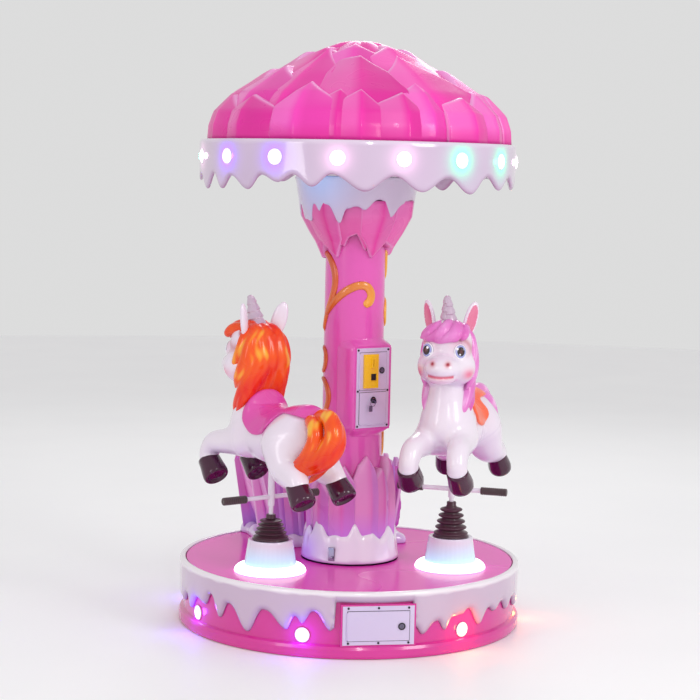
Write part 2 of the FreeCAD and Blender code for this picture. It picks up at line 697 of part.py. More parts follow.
# ---- unicorns, built about the pole axis with the nose towards +X ----
def unicorn_flesh(inset):
    """Barrel, neck and head. A positive inset gives the hollow inside."""
    chains = [[(-135, 0, 738, 106), (95, 0, 730, 100)],
              [(115, 0, 770, 84), (160, 0, 985, 66)],
              [(165, 0, 1068, 92), (222, 0, 1004, 58)]]
    return [limb(*[(x, y, z, r - inset) for x, y, z, r in chain]) for chain in chains]


def unicorn_body():
    outer = unicorn_flesh(0)
    for s in (1, -1):
        outer.append(limb((110, 62 * s, 690, 50), (212, 84 * s, 642, 38), (240, 92 * s, 604, 34)))
        outer.append(limb((-150, 58 * s, 705, 62), (-255, 82 * s, 640, 42), (-318, 98 * s, 590, 34)))
        outer.append(Part.makeCone(30, 5, 112, V(118, 50 * s, 1112), V(-38, 37 * s, 106)))
    return fuse(outer)


def hoof(top, toe):
    along = toe - top
    return Part.makeCone(38, 46, along.Length, top, along)


def hooves():
    return [hoof(V(238, 92 * s, 600), V(262, 95 * s, 536)) for s in (1, -1)] + \
           [hoof(V(-314, 98 * s, 592), V(-352, 104 * s, 540)) for s in (1, -1)]


def hair():
    mane = limb((34, 0, 850, 50), (50, 0, 1050, 64), (110, 0, 1146, 48))
    tail = limb((-228, 0, 806, 30), (-322, 0, 820, 44), (-340, 0, 692, 38))
    return mane, tail


def saddle():
    seat = rod(V(-120, 0, 734), V(50, 0, 732), 116)
    pommel = limb((44, 0, 838, 26), (58, 0, 872, 22))
    return fuse([seat, pommel]).cut(box(-200, 200, -200, 200, 500, 700))


def pole_and_bar(side):
    roller_z = LOWEST_ROLLER_Z + LEFT_SHIFT
    sleeve = Part.makeCylinder(12.5, 211, V(0, 0, 479))
    shaft = Part.makeCylinder(8.5, 480 - roller_z - 24, V(0, 0, roller_z + 24))
    stem = Part.makeCylinder(5.5, 26, V(0, 0, roller_z))
    bar = rod(V(0, -205, 511), V(0, 205, 511), 8.5)
    roller = rod(V(0, -8, roller_z), V(0, 8, roller_z), ROLLER_R)
    azimuth, heading = LIFTS[side][0], LIFTS[side][1]
    roller.rotate(ORIGIN, UP, azimuth + 90 - heading)
    return fuse([sleeve, shaft, stem, bar, roller])


def grips():
    pieces = []
    for s in (1, -1):
        grip = rod(V(0, 112 * s, 511), V(0, 210 * s, 511), 15)
        pieces.append(grip.cut(rod(V(0, 100 * s, 511), V(0, 205 * s, 511), 8.5)))
    return Part.Compound(pieces)


def unicorn(side):
    """Places one unicorn on its pole at its resting height."""
    azimuth, heading, height = LIFTS[side]
    body = unicorn_body()
    for hollow in unicorn_flesh(7):
        body = body.cut(hollow)
    body = body.cut(Part.makeCylinder(12.6, 300, V(0, 0, 400)))
    outside = unicorn_body()
    feet = [h.cut(outside) for h in hooves()]
    mane, tail = [h.cut(outside) for h in hair()]
    seat = saddle().cut(outside).cut(mane)
    horn = Part.makeCone(26, 3, 112, V(99, 0, 1146), V(55, 0, 97)).cut(outside).cut(mane)
    pieces = {"unicorn_body": body, "hooves": Part.Compound(feet), "mane_tail": Part.Compound([mane, tail]),
              "saddle": seat, "horn": horn, "pole": pole_and_bar(side), "grips": grips()}
    for name, shape in pieces.items():
        placed = shape.copy()
        placed.rotate(ORIGIN, UP, heading)
        placed.translate(lift_point(side, height - LEFT_SHIFT))
        add(name + "_" + side, placed)


def lift_set():
    for side in LIFTS:
        unicorn(side)
        add("cam_" + side, lift_cam(side))
        boot = bellows(447 if side == "left" else 485)
        boot.translate(lift_point(side))
        add("bellows_" + side, boot)
    add("lift_frames", Part.Compound([at_lift(s, lift_frame()) for s in LIFTS]))
    add("lift_motors", Part.Compound([at_lift(s, lift_motor()) for s in LIFTS]))
    for name, make in (("lift_housings", lift_housing), ("light_rings", light_ring)):
        pair = []
        for side in LIFTS:
            shape = make()
            shape.translate(lift_point(side))
            pair.append(shape)
        add(name, Part.Compound(pair))


SINGLE = [base_skirt, base_icing, base_frame, levelling_feet, centre_mast, control_box, power_inlet,
          led_lamps, column_shell, vine_relief, foot_collar, foot_crystals, capital_crystals,
          capital_icing, canopy_frame, ceiling_panel, canopy_valance, canopy_dome, panel_screws,
          ring_gear, bearing_inner_ring, drive_pinion, turntable_motor, slip_ring, deck, deck_frame,
          sleigh_tub, sleigh_snow]

for make_part in SINGLE:
    add(make_part.__name__, make_part())
access_panel()
coin_panel()
lift_set()

os.makedirs("parts", exist_ok=True)
for part_name, part_shape in PARTS.items():
    print(part_name, len(part_shape.Solids), round(part_shape.Volume / 1000), "cm3", part_shape.isValid())
    part_shape.exportStep("parts/" + part_name + ".step")
print(len(PARTS), "parts")
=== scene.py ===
"""Looks of the unicorn carousel ride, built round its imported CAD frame.

Lengths are millimetres, with Z up and the machine's axis at the origin; piece() turns them
into metres. Azimuths are degrees anticlockwise from +X, so the front is at -90.
"""
import math
import random

import bmesh
import bpy
import numpy as np
from mathutils import Matrix, Vector
from mathutils.bvhtree import BVHTree
from mathutils.kdtree import KDTree


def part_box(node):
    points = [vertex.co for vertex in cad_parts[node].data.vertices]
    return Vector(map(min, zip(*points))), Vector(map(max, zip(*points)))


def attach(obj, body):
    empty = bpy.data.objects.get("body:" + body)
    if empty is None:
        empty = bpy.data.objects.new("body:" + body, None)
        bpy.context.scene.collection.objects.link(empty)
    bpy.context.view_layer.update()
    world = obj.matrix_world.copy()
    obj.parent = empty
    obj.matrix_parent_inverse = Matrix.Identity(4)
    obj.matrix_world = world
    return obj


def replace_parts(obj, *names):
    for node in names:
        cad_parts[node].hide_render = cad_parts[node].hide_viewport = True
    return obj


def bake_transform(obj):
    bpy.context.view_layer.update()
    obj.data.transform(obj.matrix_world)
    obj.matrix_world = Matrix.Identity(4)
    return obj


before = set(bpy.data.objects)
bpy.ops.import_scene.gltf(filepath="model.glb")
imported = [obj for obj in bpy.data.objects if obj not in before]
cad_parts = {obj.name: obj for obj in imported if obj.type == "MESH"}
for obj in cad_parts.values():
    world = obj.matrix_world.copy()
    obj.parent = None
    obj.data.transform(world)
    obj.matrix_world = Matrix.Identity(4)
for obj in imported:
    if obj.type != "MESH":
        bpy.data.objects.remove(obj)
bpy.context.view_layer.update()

MM = 0.001
random.seed(7)


def span(node):
    """Lowest and highest corner of a CAD node, in millimetres."""
    low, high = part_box(node)
    return np.array(low) / MM, np.array(high) / MM


SIDES = ("left", "right")               # the two unicorns, as in the names of their nodes
SKIRT_R = 632                           # face of the base skirt
RIM_R = 625                             # inside of the icing rim
VALANCE_R = 586                         # wall behind the valance's icing
BASE_LAMP_Z, CANOPY_LAMP_Z = 78, 1752
BASE_LAMP_R, CANOPY_LAMP_R = 26, 28     # radii of the lamps' bezels
DOOR_AZ, COIN_AZ = -80.2, -55           # where the access door and the coin box face
DOOR_FACE, COIN_FACE = 640.5, 134.5     # how far out the doors' faces are, along these azimuths
LATCH_AZ, LATCH_Z = -111, 278           # latch plate on the snow collar
SLEIGH_AZ, SLEIGH_R = 106, 395
EYE_WIDE, EYE_TALL = 23.5, 29           # half sizes of an eye
FLOOR_M = 12                            # radius of the studio's floor, in metres
DECK_TOP = span("deck")[1][2]
DOME_FOOT = span("canopy_dome")[0][2]


# ---- colour and materials ----
def ink(colour):
    """Linear red, green and blue of a #rrggbb colour."""
    parts = [int(colour[i:i + 2], 16) / 255 for i in (1, 3, 5)]
    return np.array([c / 12.92 if c <= 0.04045 else ((c + 0.055) / 1.055) ** 2.4 for c in parts])


def mixed(a, b, share):
    """Colours between a and b, one row for each share."""
    share = np.clip(np.asarray(share, float), 0, 1)[..., None]
    return a * (1 - share) + b * share


class Shader:
    """A Principled material with short ways to add the nodes in front of it."""

    def __init__(self, name):
        self.material = bpy.data.materials.new(name)
        self.material.use_nodes = True
        self.tree = self.material.node_tree
        self.main = self.tree.nodes["Principled BSDF"]
        self.place = self.tree.nodes.new("ShaderNodeTexCoord").outputs["Object"]

    def node(self, kind, **inputs):
        made = self.tree.nodes.new(kind)
        for name, value in inputs.items():
            self.feed(made.inputs[name.replace("_", " ")], value)
        return made

    def feed(self, socket, value):
        if isinstance(value, bpy.types.NodeSocket):
            self.tree.links.new(value, socket)
        elif isinstance(value, np.ndarray):
            socket.default_value = (*value, 1)
        else:
            socket.default_value = value

    def noise(self, scale, detail=2.0, stretch=(1, 1, 1)):
        place = self.node("ShaderNodeMapping", Vector=self.place, Scale=stretch).outputs[0]
        return self.node("ShaderNodeTexNoise", Vector=place, Scale=scale, Detail=detail).outputs[0]

    def levels(self, value, low, high, to_low, to_high):
        made = self.node("ShaderNodeMapRange", Value=value)
        for i, number in enumerate((low, high, to_low, to_high)):
            made.inputs[i + 1].default_value = number
        return made.outputs[0]

    def mix(self, share, a, b, mode="MIX"):
        made = self.tree.nodes.new("ShaderNodeMix")
        made.data_type = "RGBA"
        made.blend_type = mode
        for socket, value in ((made.inputs[0], share), (made.inputs[6], a), (made.inputs[7], b)):
            self.feed(socket, value)
        return made.outputs[2]

    def painted(self, layer):
        made = self.tree.nodes.new("ShaderNodeAttribute")
        made.attribute_name = layer
        return made.outputs["Color"]

    def set(self, **values):
        for name, value in values.items():
            self.feed(self.main.inputs[name.replace("_", " ")], value)

    def relief(self, height, strength, distance=0.001):
        bump = self.node("ShaderNodeBump", Height=height, Strength=strength, Distance=distance)
        self.feed(self.main.inputs["Normal"], bump.outputs[0])


def finish(name, *tints, rough=0.3, coat=0.0, metal=0.0, patch=5.0, grain=(140, 0.06),
           stretch=(1, 1, 1), glow=0.0, sheen=0.0, shine=0.5):
    """Drifting colour and roughness, and a fine grain (scale, strength) in relief.

    The colour drifts between two tints. Without them it is the piece's own paint.
    """
    s = Shader(name)
    drift = s.levels(s.noise(patch, 1, stretch), 0.1, 0.9, 0, 1)
    if tints:
        base = s.mix(drift, ink(tints[0]), ink(tints[1]))
    else:
        tint = s.mix(drift, ink("#ffffff"), ink("#f1ecf2"))
        base = s.mix(1.0, s.painted("paint"), tint, "MULTIPLY")
    s.set(Base_Color=base, Metallic=metal, Coat_Weight=coat, Coat_Roughness=0.06, Specular_IOR_Level=shine,
          Roughness=s.levels(s.noise(patch * 2, 1), 0, 1, rough * 0.7, rough * 1.3))
    # the glow layer is painted light: emission painted on pieces that are no lamps
    if glow:
        s.set(Emission_Color=s.painted("glow"), Emission_Strength=glow)
    if sheen:
        s.set(Sheen_Weight=sheen)
    s.relief(s.noise(grain[0], 1), grain[1])
    return s.material


def lamp_glass(name, colour, strength):
    """A lit frosted lens, hotter in the middle of each cell of its moulded pattern."""
    s = Shader(name)
    cells = s.node("ShaderNodeTexVoronoi", Vector=s.place, Scale=160.0).outputs[0]
    s.set(Base_Color=ink("#ffffff"), Roughness=0.3, Emission_Strength=strength,
          Emission_Color=s.mix(s.levels(cells, 0, 0.7, 0, 0.35), ink("#ffffff"), ink(colour)))
    s.relief(cells, 0.3)
    return s.material


PINK = finish("pink_gelcoat", "#de349c", "#d42c92", rough=0.2, coat=0.45, grain=(90, 0.05))
COLUMN_PINK = finish("column_gelcoat", "#e860bc", "#e056b2", rough=0.2, coat=0.45, grain=(90, 0.05))
DECK_PINK = finish("deck_gelcoat", "#ee3fbc", "#e436b0", rough=0.26, coat=0.22, shine=0.15, patch=0.9,
                   grain=(9, 0.006))
DOME_PINK = finish("dome_gelcoat", rough=0.3, coat=0.16, shine=0.32, grain=(60, 0.04))
# the icing's emission comes from its painted glow layer of lamp light
ICING = finish("icing_gelcoat", rough=0.16, coat=0.9, glow=1.0, grain=(70, 0.08))
WHITE = finish("white_moulding", "#f6f2f7", "#ebe4ee", rough=0.25, coat=0.4)
SKIN_WHITE = finish("unicorn_gelcoat", rough=0.24, coat=0.5, grain=(110, 0.04))
HAIR = finish("hair_lacquer", rough=0.26, coat=0.4, shine=0.3, grain=(60, 0.06))
VINE = finish("vine_lacquer", rough=0.2, coat=0.7)
SADDLE_PINK = finish("saddle_pink", "#e452ae", "#d946a4", rough=0.3, coat=0.35, grain=(300, 0.12))
SADDLE_ORANGE = finish("saddle_orange", "#ff6f45", "#f9603a", rough=0.3, coat=0.35, grain=(300, 0.12))
HORN = finish("horn_silver", "#d6c0d0", "#c6aec4", rough=0.3, metal=0.2, coat=0.5, grain=(40, 0.02))
HOOF = finish("hoof_lacquer", "#4c1438", "#340c26", rough=0.2, coat=0.45, shine=0.3, grain=(90, 0.12),
              stretch=(1, 1, 0.3))
RUBBER = finish("bellows_rubber", "#502638", "#421e2e", rough=0.38, coat=0.15, grain=(500, 0.12))
GRIP = finish("grip_rubber", "#4a3438", "#38262a", rough=0.6, sheen=0.3, grain=(900, 0.3))
TUB = finish("sleigh_gelcoat", rough=0.2, coat=0.7)
STEEL = finish("painted_steel", "#5b6068", "#4d525a", rough=0.45, grain=(400, 0.15))
BRIGHT = finish("ground_steel", "#c3c6ca", "#a9adb3", rough=0.28, metal=1.0, stretch=(1, 1, 8))
BLACK = finish("black_enamel", "#18181b", "#232327", rough=0.4, shine=0.3, grain=(500, 0.1))
GREY = finish("grey_case", "#8d9197", "#7f8389", rough=0.5, grain=(700, 0.25))
FEET = finish("foot_rubber", "#1d1c1e", "#29282a", rough=0.7, grain=(600, 0.4))
PANEL = finish("panel_enamel", "#dccdea", "#d2c2e2", rough=0.3, coat=0.3, grain=(350, 0.03))
CHROME = finish("lock_chrome", "#857f94", "#6b6578", rough=0.2, metal=1.0, grain=(300, 0.05))
SCREW = finish("screw_zinc", "#3a3440", "#2a2530", rough=0.35, metal=0.8, grain=(600, 0.2))
YELLOW = finish("acceptor_yellow", "#ffd21e", "#fac414", rough=0.2, coat=0.6, grain=(250, 0.08))
POLE = finish("pole_enamel", "#f2ebf5", "#e6dcea", rough=0.2, coat=0.5)
HALO_TINTS = {"violet": "#9a5cff", "blush": "#f9d0ee", "mint": "#4dffc0", "amber": "#ff9a5a",
              "sky": "#9cc8ff"}
LENSES = {tint: lamp_glass("lens_" + tint, colour, 2.2) for tint, colour in HALO_TINTS.items()}
RING_LIGHT = lamp_glass("ring_light", "#c4f2ff", 1.5)


# ---- making pieces ----
def piece(name, points, faces, material, slot, body=None, smooth=True):
    """One named piece from points in millimetres. It rides on the body, if one is given."""
    mesh = bpy.data.meshes.new(name)
    faces = faces.tolist() if isinstance(faces, np.ndarray) else faces
    mesh.from_pydata((np.asarray(points, float) * MM).tolist(), [], faces)
    return settle(name, mesh, material, body, smooth)


def settle(name, mesh, material, body=None, smooth=True):
    """Puts a finished mesh into the scene as a named piece."""
    mesh.materials.append(material)
    mesh.polygons.foreach_set("use_smooth", [smooth] * len(mesh.polygons))
    mesh.update()
    made = bpy.data.objects.new(name, mesh)
    bpy.context.scene.collection.objects.link(made)
    if body:
        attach(made, body)
    return made


def outward(made):
    """Turns every face of a closed piece outwards."""
    bm = bmesh.new()
    bm.from_mesh(made.data)
    bmesh.ops.recalc_face_normals(bm, faces=bm.faces)
    bm.to_mesh(made.data)
    bm.free()
    return made


def shell(name, points, faces, *rest, **more):
    """A closed piece whose faces are turned outwards."""
    return outward(piece(name, points, faces, *rest, **more))


def paint(made, colours, layer="paint"):
    """Stores one colour for each vertex."""
    values = np.ones((len(made.data.vertices), 4), np.float32)
    values[:, :3] = colours
    made.data.color_attributes.new(layer, "FLOAT_COLOR", "POINT").data.foreach_set("color", values.ravel())


def vertex_data(made, what):
    """The "co" or "normal" of each vertex, as rows."""
    flat = np.zeros(len(made.data.vertices) * 3, np.float32)
    made.data.vertices.foreach_get(what, flat)
    return flat.reshape(-1, 3)


def spots(made):
    """Vertex positions in millimetres."""
    return vertex_data(made, "co") / MM


def loop_faces(rows, ring, closed=True):
    """Quads of a grid of rows of points whose ends meet, and whose rows meet if closed."""
    i, j = np.meshgrid(np.arange(rows if closed else rows - 1), np.arange(ring), indexing="ij")
    i2, j2 = (i + 1) % rows, (j + 1) % ring
    return np.stack([i * ring + j, i * ring + j2, i2 * ring + j2, i2 * ring + j], -1).reshape(-1, 4)


def lathe(outline, steps=64, centre=(0, 0, 0), axis=(0, 0, 1)):
    """Points and faces of a closed outline of (radius, height) turned about an axis."""
    outline = np.array(outline, float)
    turn = Vector((0, 0, 1)).rotation_difference(Vector(axis)).to_matrix()
    angles = np.arange(steps) * 2 * math.pi / steps
    r, z = outline[:, 0], outline[:, 1]
    points = np.stack([np.outer(np.cos(angles), r), np.outer(np.sin(angles), r),
                       np.tile(z, (steps, 1))], -1).reshape(-1, 3)
    return points @ np.array(turn).T + np.array(centre), loop_faces(steps, len(outline))


def joined(shapes):
    """Several (points, faces) as one."""
    points, faces, start = [], [], 0
    for p, f in shapes:
        points.append(np.asarray(p))
        faces += [[v + start for v in face] for face in f]
        start += len(p)
    return np.vstack(points), faces


def turned(points, azimuth, distance=0.0, z=0.0):
    """Points built facing +X, moved out along an azimuth."""
    a = math.radians(azimuth)
    turn = np.array([[math.cos(a), -math.sin(a), 0], [math.sin(a), math.cos(a), 0], [0, 0, 1]])
    return (np.asarray(points, float) + np.array([distance, 0, z])) @ turn.T


def smooth_line(stations, steps):
    """Catmull-Rom line through stations of any number of values."""
    s = np.array(stations, float)
    s = np.vstack([2 * s[0] - s[1], s, 2 * s[-1] - s[-2]])
    line = []
    for i in range(1, len(s) - 2):
        a, b, c, d = s[i - 1:i + 3]
        for t in np.arange(steps) / steps:
            line.append(0.5 * (2 * b + (c - a) * t + (2 * a - 5 * b + 4 * c - d) * t * t
                               + (3 * b - a - 3 * c + d) * t ** 3))
    return np.array(line + [s[-2]])


# ---- drip-edged skins ----
def wavy(knots, down=True, pinch=1.25):
    """Closed outline through (azimuth, height) knots, narrow at its tips and round between."""
    knots = sorted((a % 360, z) for a, z in knots)
    knots = [(knots[-1][0] - 360, knots[-1][1])] + knots + [(knots[0][0] + 360, knots[0][1])]
    az, height = np.array(knots).T

    def at(azimuth):
        a = np.mod(azimuth, 360)
        i = np.searchsorted(az, a, side="right") - 1
        t = (a - az[i]) / (az[i + 1] - az[i])
        tip_ahead = (height[i + 1] < height[i]) == down
        from_valley = np.where(tip_ahead, t, 1 - t)
        share = ((1 - np.cos(math.pi * from_valley)) / 2) ** pinch
        valley = np.where(tip_ahead, height[i], height[i + 1])
        tip = np.where(tip_ahead, height[i + 1], height[i])
        return valley + (tip - valley) * share
    return at


def skin(name, edge, wall, start, crown, thick, back, soft, columns, rows=18, flow=0.12):
    """Moulded icing round the axis, from a level start to a wavy edge, rounded like a thick coat.

    wall(z) is the radius that it lies on, crown its closing (radius, height) points from the
    inside over to the outside, thick and back how far it stands proud of the wall each way,
    soft how far in from the edge it rounds off, and flow how much its thickness varies.
    """
    az = np.arange(columns) * 360 / columns
    reach = np.sin(np.linspace(0, math.pi / 2, rows))
    z = start + (edge(az)[:, None] - start) * reach[None, :]
    mean_r = wall(start)
    fine = np.arange(-8, 368, 360 / columns / 2)
    tree = KDTree(len(fine))
    for i, (a, h) in enumerate(zip(fine, edge(fine))):
        tree.insert((math.radians(a) * mean_r, h, 0), i)
    tree.balance()
    unrolled = np.radians(az) * mean_r
    away = np.array([[tree.find((u, h, 0))[2] for h in line] for u, line in zip(unrolled, z)])
    dome = np.sqrt(1 - (1 - np.clip(away / soft, 0, 1)) ** 2)
    wave = 1 + flow * (np.sin(np.radians(az * 7)) + np.sin(np.radians(az * 17 + 50)))[:, None] / 2 * reach
    outer, inner = wall(z) + thick * dome * wave, wall(z) - back * dome
    crown = np.array(crown, float).reshape(-1, 2)
    r_all = np.hstack([outer, inner[:, -2::-1], np.tile(crown[:, 0], (columns, 1))])
    z_all = np.hstack([z, z[:, -2::-1], np.tile(crown[:, 1], (columns, 1))])
    a = np.radians(az)[:, None]
    points = np.stack([r_all * np.cos(a), r_all * np.sin(a), z_all], -1).reshape(-1, 3)
    return shell(name, points, loop_faces(columns, r_all.shape[1]), ICING, "icing_white", "base")


def round_back(start, stop, valleys, tips, gaps):
    """Seeded (azimuth, height) knots of the drips that no outline is given for."""
    knots = []
    azimuth = start
    while azimuth < stop:
        for heights in (valleys, tips):
            knots.append((azimuth, random.uniform(*heights)))
            azimuth += random.uniform(*gaps)
    return knots


def coated(tone, *coats):
    """Colours with further coats over them: each is (colour, how much it covers)."""
    for colour, share in coats:
        tone = mixed(tone, ink(colour), share)
    return tone


def halo(made, lamps, reach, base, shade, top=None):
    """Paints a moulding with painted lamp light, tinted and faintly glowing round its lamps: each lamp is
    (point, tint).

    It has painted shade towards its lower edges, and a painted highlight in white above the height top.
    """
    at, facing = spots(made), vertex_data(made, "normal")
    # painted shade on the faces that turn downwards
    tone = mixed(base, shade, np.clip(0.35 - facing[:, 2], 0, 1) * 0.9)
    if top:
        # painted highlight: whiter above the height top
        tone = mixed(tone, ink("#fffafd"), np.clip((at[:, 2] - top) / 5, 0, 1) * 0.8)
    light = np.zeros((len(at), 3))
    for centre, tint in lamps:
        # painted lamp light: each lamp's tint over the moulding, and a painted glow in the glow layer
        share = np.exp(-(np.linalg.norm(at - np.array(centre), axis=1) / reach) ** 2)
        tone = mixed(tone, ink(HALO_TINTS[tint]), share * 0.62)
        light += share[:, None] * ink(HALO_TINTS[tint]) * 0.22
    paint(made, tone)
    paint(made, light, "glow")


# ---- crystal plates ----
def plate(profile, level, edge, push=0.0, crease=10.0, lift=0.0, back=60.0, roll=9.0, across=34, rows=22,
          wall=None):
    """Curved crystal plate round the axis, from a level height to an edge line of (azimuth, height).

    profile(z) is the radius it lies on, and push moves it out. It folds outwards along its middle
    by crease, its borders are rolled, and its level end is set in by lift. With a wall, (origin,
    direction, outward direction), it is flat: the azimuths are distances along the wall, and the
    radius is one out from it. Returns points, faces, how near to the free edge each point is, and
    which side of the fold it is on.
    """
    az, height = np.array(edge, float).T
    peak = az[np.argmax(np.abs(height - level))]
    a = np.linspace(az[0], az[-1], across)
    a[np.argmin(np.abs(a[1:-1] - peak)) + 1] = peak
    arc = 1.0 if wall else math.radians(1)
    top = np.interp(a, az, height)
    share = np.sin(np.linspace(0, math.pi / 2, rows)) ** 0.9
    z = level + (top - level)[:, None] * share
    fold = np.where(a < peak, (a - az[0]) / max(peak - az[0], 1e-6), (az[-1] - a) / max(az[-1] - peak, 1e-6))
    spread = np.vectorize(profile)(z)
    span_of = np.ones_like(spread) if wall else spread
    sideways = np.minimum(a - az[0], az[-1] - a)[:, None] * arc * span_of
    steep = np.abs(np.diff(height)).max() / max(np.ptp(az) * arc * span_of.mean(), 1)
    slope = 1 / math.sqrt(1 + steep ** 2)
    rim = np.minimum(sideways, np.abs(top[:, None] - z) * max(slope, 0.45))
    turn_in = 1 - np.sqrt(1 - (1 - np.clip(rim / roll, 0, 1)) ** 2)
    front = spread + push + crease * fold[:, None] - lift * (1 - share) - roll * turn_in
    rear = spread + push - back if wall else np.maximum(spread + push - back, 1.0)
    r = np.hstack([front, rear[:, ::-1]])
    z = np.hstack([z, z[:, ::-1]])
    t = np.radians(a)[:, None]
    points = np.stack([r * np.cos(t), r * np.sin(t), z], -1).reshape(-1, 3)
    ring = r.shape[1]
    if wall:
        origin, along, out = (np.array(v, float) for v in wall)
        sheet = origin + a[:, None, None] * along + r[:, :, None] * out
        points = np.dstack([sheet, z[:, :, None]]).reshape(-1, 3)
    faces = loop_faces(across, ring, closed=False).tolist()
    faces += [list(range(ring))[::-1], list(range(ring * (across - 1), ring * across))]
    near_edge = np.hstack([1 - np.clip(rim / (roll * 0.9), 0, 1), np.zeros_like(rim)]).ravel()
    return points, faces, near_edge, np.repeat(np.where(a < peak, 1 - fold, fold - 1), ring)


def plates(name, made, tones, highlight_tone, foot_tone, foot_z, body, slot, replaced=()):
    """One piece of crystal plates in their own tones, with painted highlights, painted shade and a tinted
    foot.
    """
    points, faces = joined([m[:2] for m in made])
    near_edge = np.concatenate([m[2] for m in made])
    tone = np.vstack([np.tile(ink(random.choice(tones)), (len(m[0]), 1)) for m in made])
    side = np.concatenate([m[3] for m in made])
    # painted highlight on one side of each plate's fold
    tone = mixed(tone, ink(highlight_tone), 0.2 * np.clip(side * 4, 0, 1))
    # painted shade on the other side of the fold, in the foot's tone darkened
    tone = mixed(tone, ink(foot_tone) * 0.86, 0.4 * np.clip(-side * 4, 0, 1))
    rise = np.concatenate([(m[0][:, 2] - m[0][:, 2].min()) / np.ptp(m[0][:, 2]) for m in made])
    # painted highlight on the upper part of each plate, then the foot's tint, then painted highlights along
    # the rolled edges
    tone = coated(tone, (highlight_tone, 0.3 * np.clip(rise * 2.2 - 1.2, 0, 1) * np.abs(side)),
                  (foot_tone, (foot_z[1] - points[:, 2]) / (foot_z[1] - foot_z[0])),
                  (highlight_tone, near_edge ** 2 * 0.75))
    made_piece = shell(name, points, faces, DOME_PINK, slot, body)
    paint(made_piece, tone)
    if replaced:
        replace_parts(made_piece, *replaced)


def around(start, stop, step, level, rise, spread):
    """Edge lines for the plates that no outline is given for, between two azimuths."""
    lines = []
    azimuth = start
    while azimuth < stop - 6:
        half = step * random.uniform(0.5, 0.66)
        middle = azimuth + step / 2
        peak = middle + random.uniform(-0.25, 0.25) * step
        shoulder = [level + random.uniform(-0.2, 0.2) * rise for _ in range(2)]
        top = level + rise * random.uniform(1 - spread, 1 + spread)
        lines.append([(middle - half, shoulder[0]), (peak, top), (middle + half, shoulder[1])])
        azimuth += step
    return lines


# ---- small blocks ----
def blocks(name, hulls, bevel, tones, light, material, body):
    """One piece of small blocks, each the bevelled hull of its points, with painted highlights on its edges.
    """
    bm = bmesh.new()
    layer = bm.loops.layers.float_color.new("paint")
    for hull, tone in zip(hulls, tones):
        verts = [bm.verts.new(Vector(p) * MM) for p in hull]
        bmesh.ops.convex_hull(bm, input=verts)
        edges = list(dict.fromkeys(e for v in verts for e in v.link_edges))
        bmesh.ops.dissolve_limit(bm, angle_limit=0.04, verts=verts, edges=edges)
        verts = [v for v in verts if v.is_valid]
        edges = list(dict.fromkeys(e for v in verts for e in v.link_edges))
        for f in dict.fromkeys(f for e in edges for f in e.link_faces):
            shade = random.uniform(0.86, 1.1)
            for corner in f.loops:
                corner[layer] = (*np.clip(ink(tone) * shade, 0, 1), 1)
        cut = bmesh.ops.bevel(bm, geom=edges, offset=bevel * MM, segments=2, profile=0.5, affect="EDGES",
                              clamp_overlap=True)
        # painted highlight: the bevel's faces are lighter, in the light colour
        for f in cut["faces"]:
            for corner in f.loops:
                corner[layer] = (*mixed(ink(tone), ink(light), 0.55), 1)
    bmesh.ops.recalc_face_normals(bm, faces=bm.faces)
    mesh = bpy.data.meshes.new(name)
    bm.to_mesh(mesh)
    bm.free()
    settle(name, mesh, material, body, smooth=False)


# ---- clay: smooth solids as signed distance on a grid ----
def ball(centre, radii, axes=None):
    """Ellipsoid, with its own axes as the rows of a matrix if it is turned."""
    c, r = np.array(centre, float), np.array(radii, float)
    turn = np.eye(3) if axes is None else np.array(axes, float)
    reach = np.abs(turn).T @ r

    def distance(x, y, z):
        p = np.stack([x - c[0], y - c[1], z - c[2]], -1) @ turn.T.astype(np.float32)
        k0 = np.linalg.norm(p / r, axis=-1)
        k1 = np.maximum(np.linalg.norm(p / r ** 2, axis=-1), 1e-6)
        return k0 * (k0 - 1) / k1
    return c - reach, c + reach, distance


def strand(*stations, steps=6):
    """Smooth tapering roll through (x, y, z, radius) stations."""
    line = smooth_line(stations, steps)
    reach = line[:, 3].max()

    def distance(x, y, z):
        best = np.full(x.shape, 1e3, np.float32)
        for a, b in zip(line[:-1], line[1:]):
            d = b[:3] - a[:3]
            t = ((x - a[0]) * d[0] + (y - a[1]) * d[1] + (z - a[2]) * d[2]) / max(d @ d, 1e-6)
            t = np.clip(t, 0, 1)
            px, py, pz = x - a[0] - t * d[0], y - a[1] - t * d[1], z - a[2] - t * d[2]
            away = np.sqrt(px * px + py * py + pz * pz)
            best = np.minimum(best, away - (a[3] + t * (b[3] - a[3])))
        return best
    return line[:, :3].min(0) - reach, line[:, :3].max(0) + reach, distance


def lesser(a, b, blend):
    """The smaller of two distances, rounded off over blend where they are close."""
    h = np.clip(0.5 + 0.5 * (a - b) / blend, 0, 1)
    return a * (1 - h) + b * h - blend * h * (1 - h)


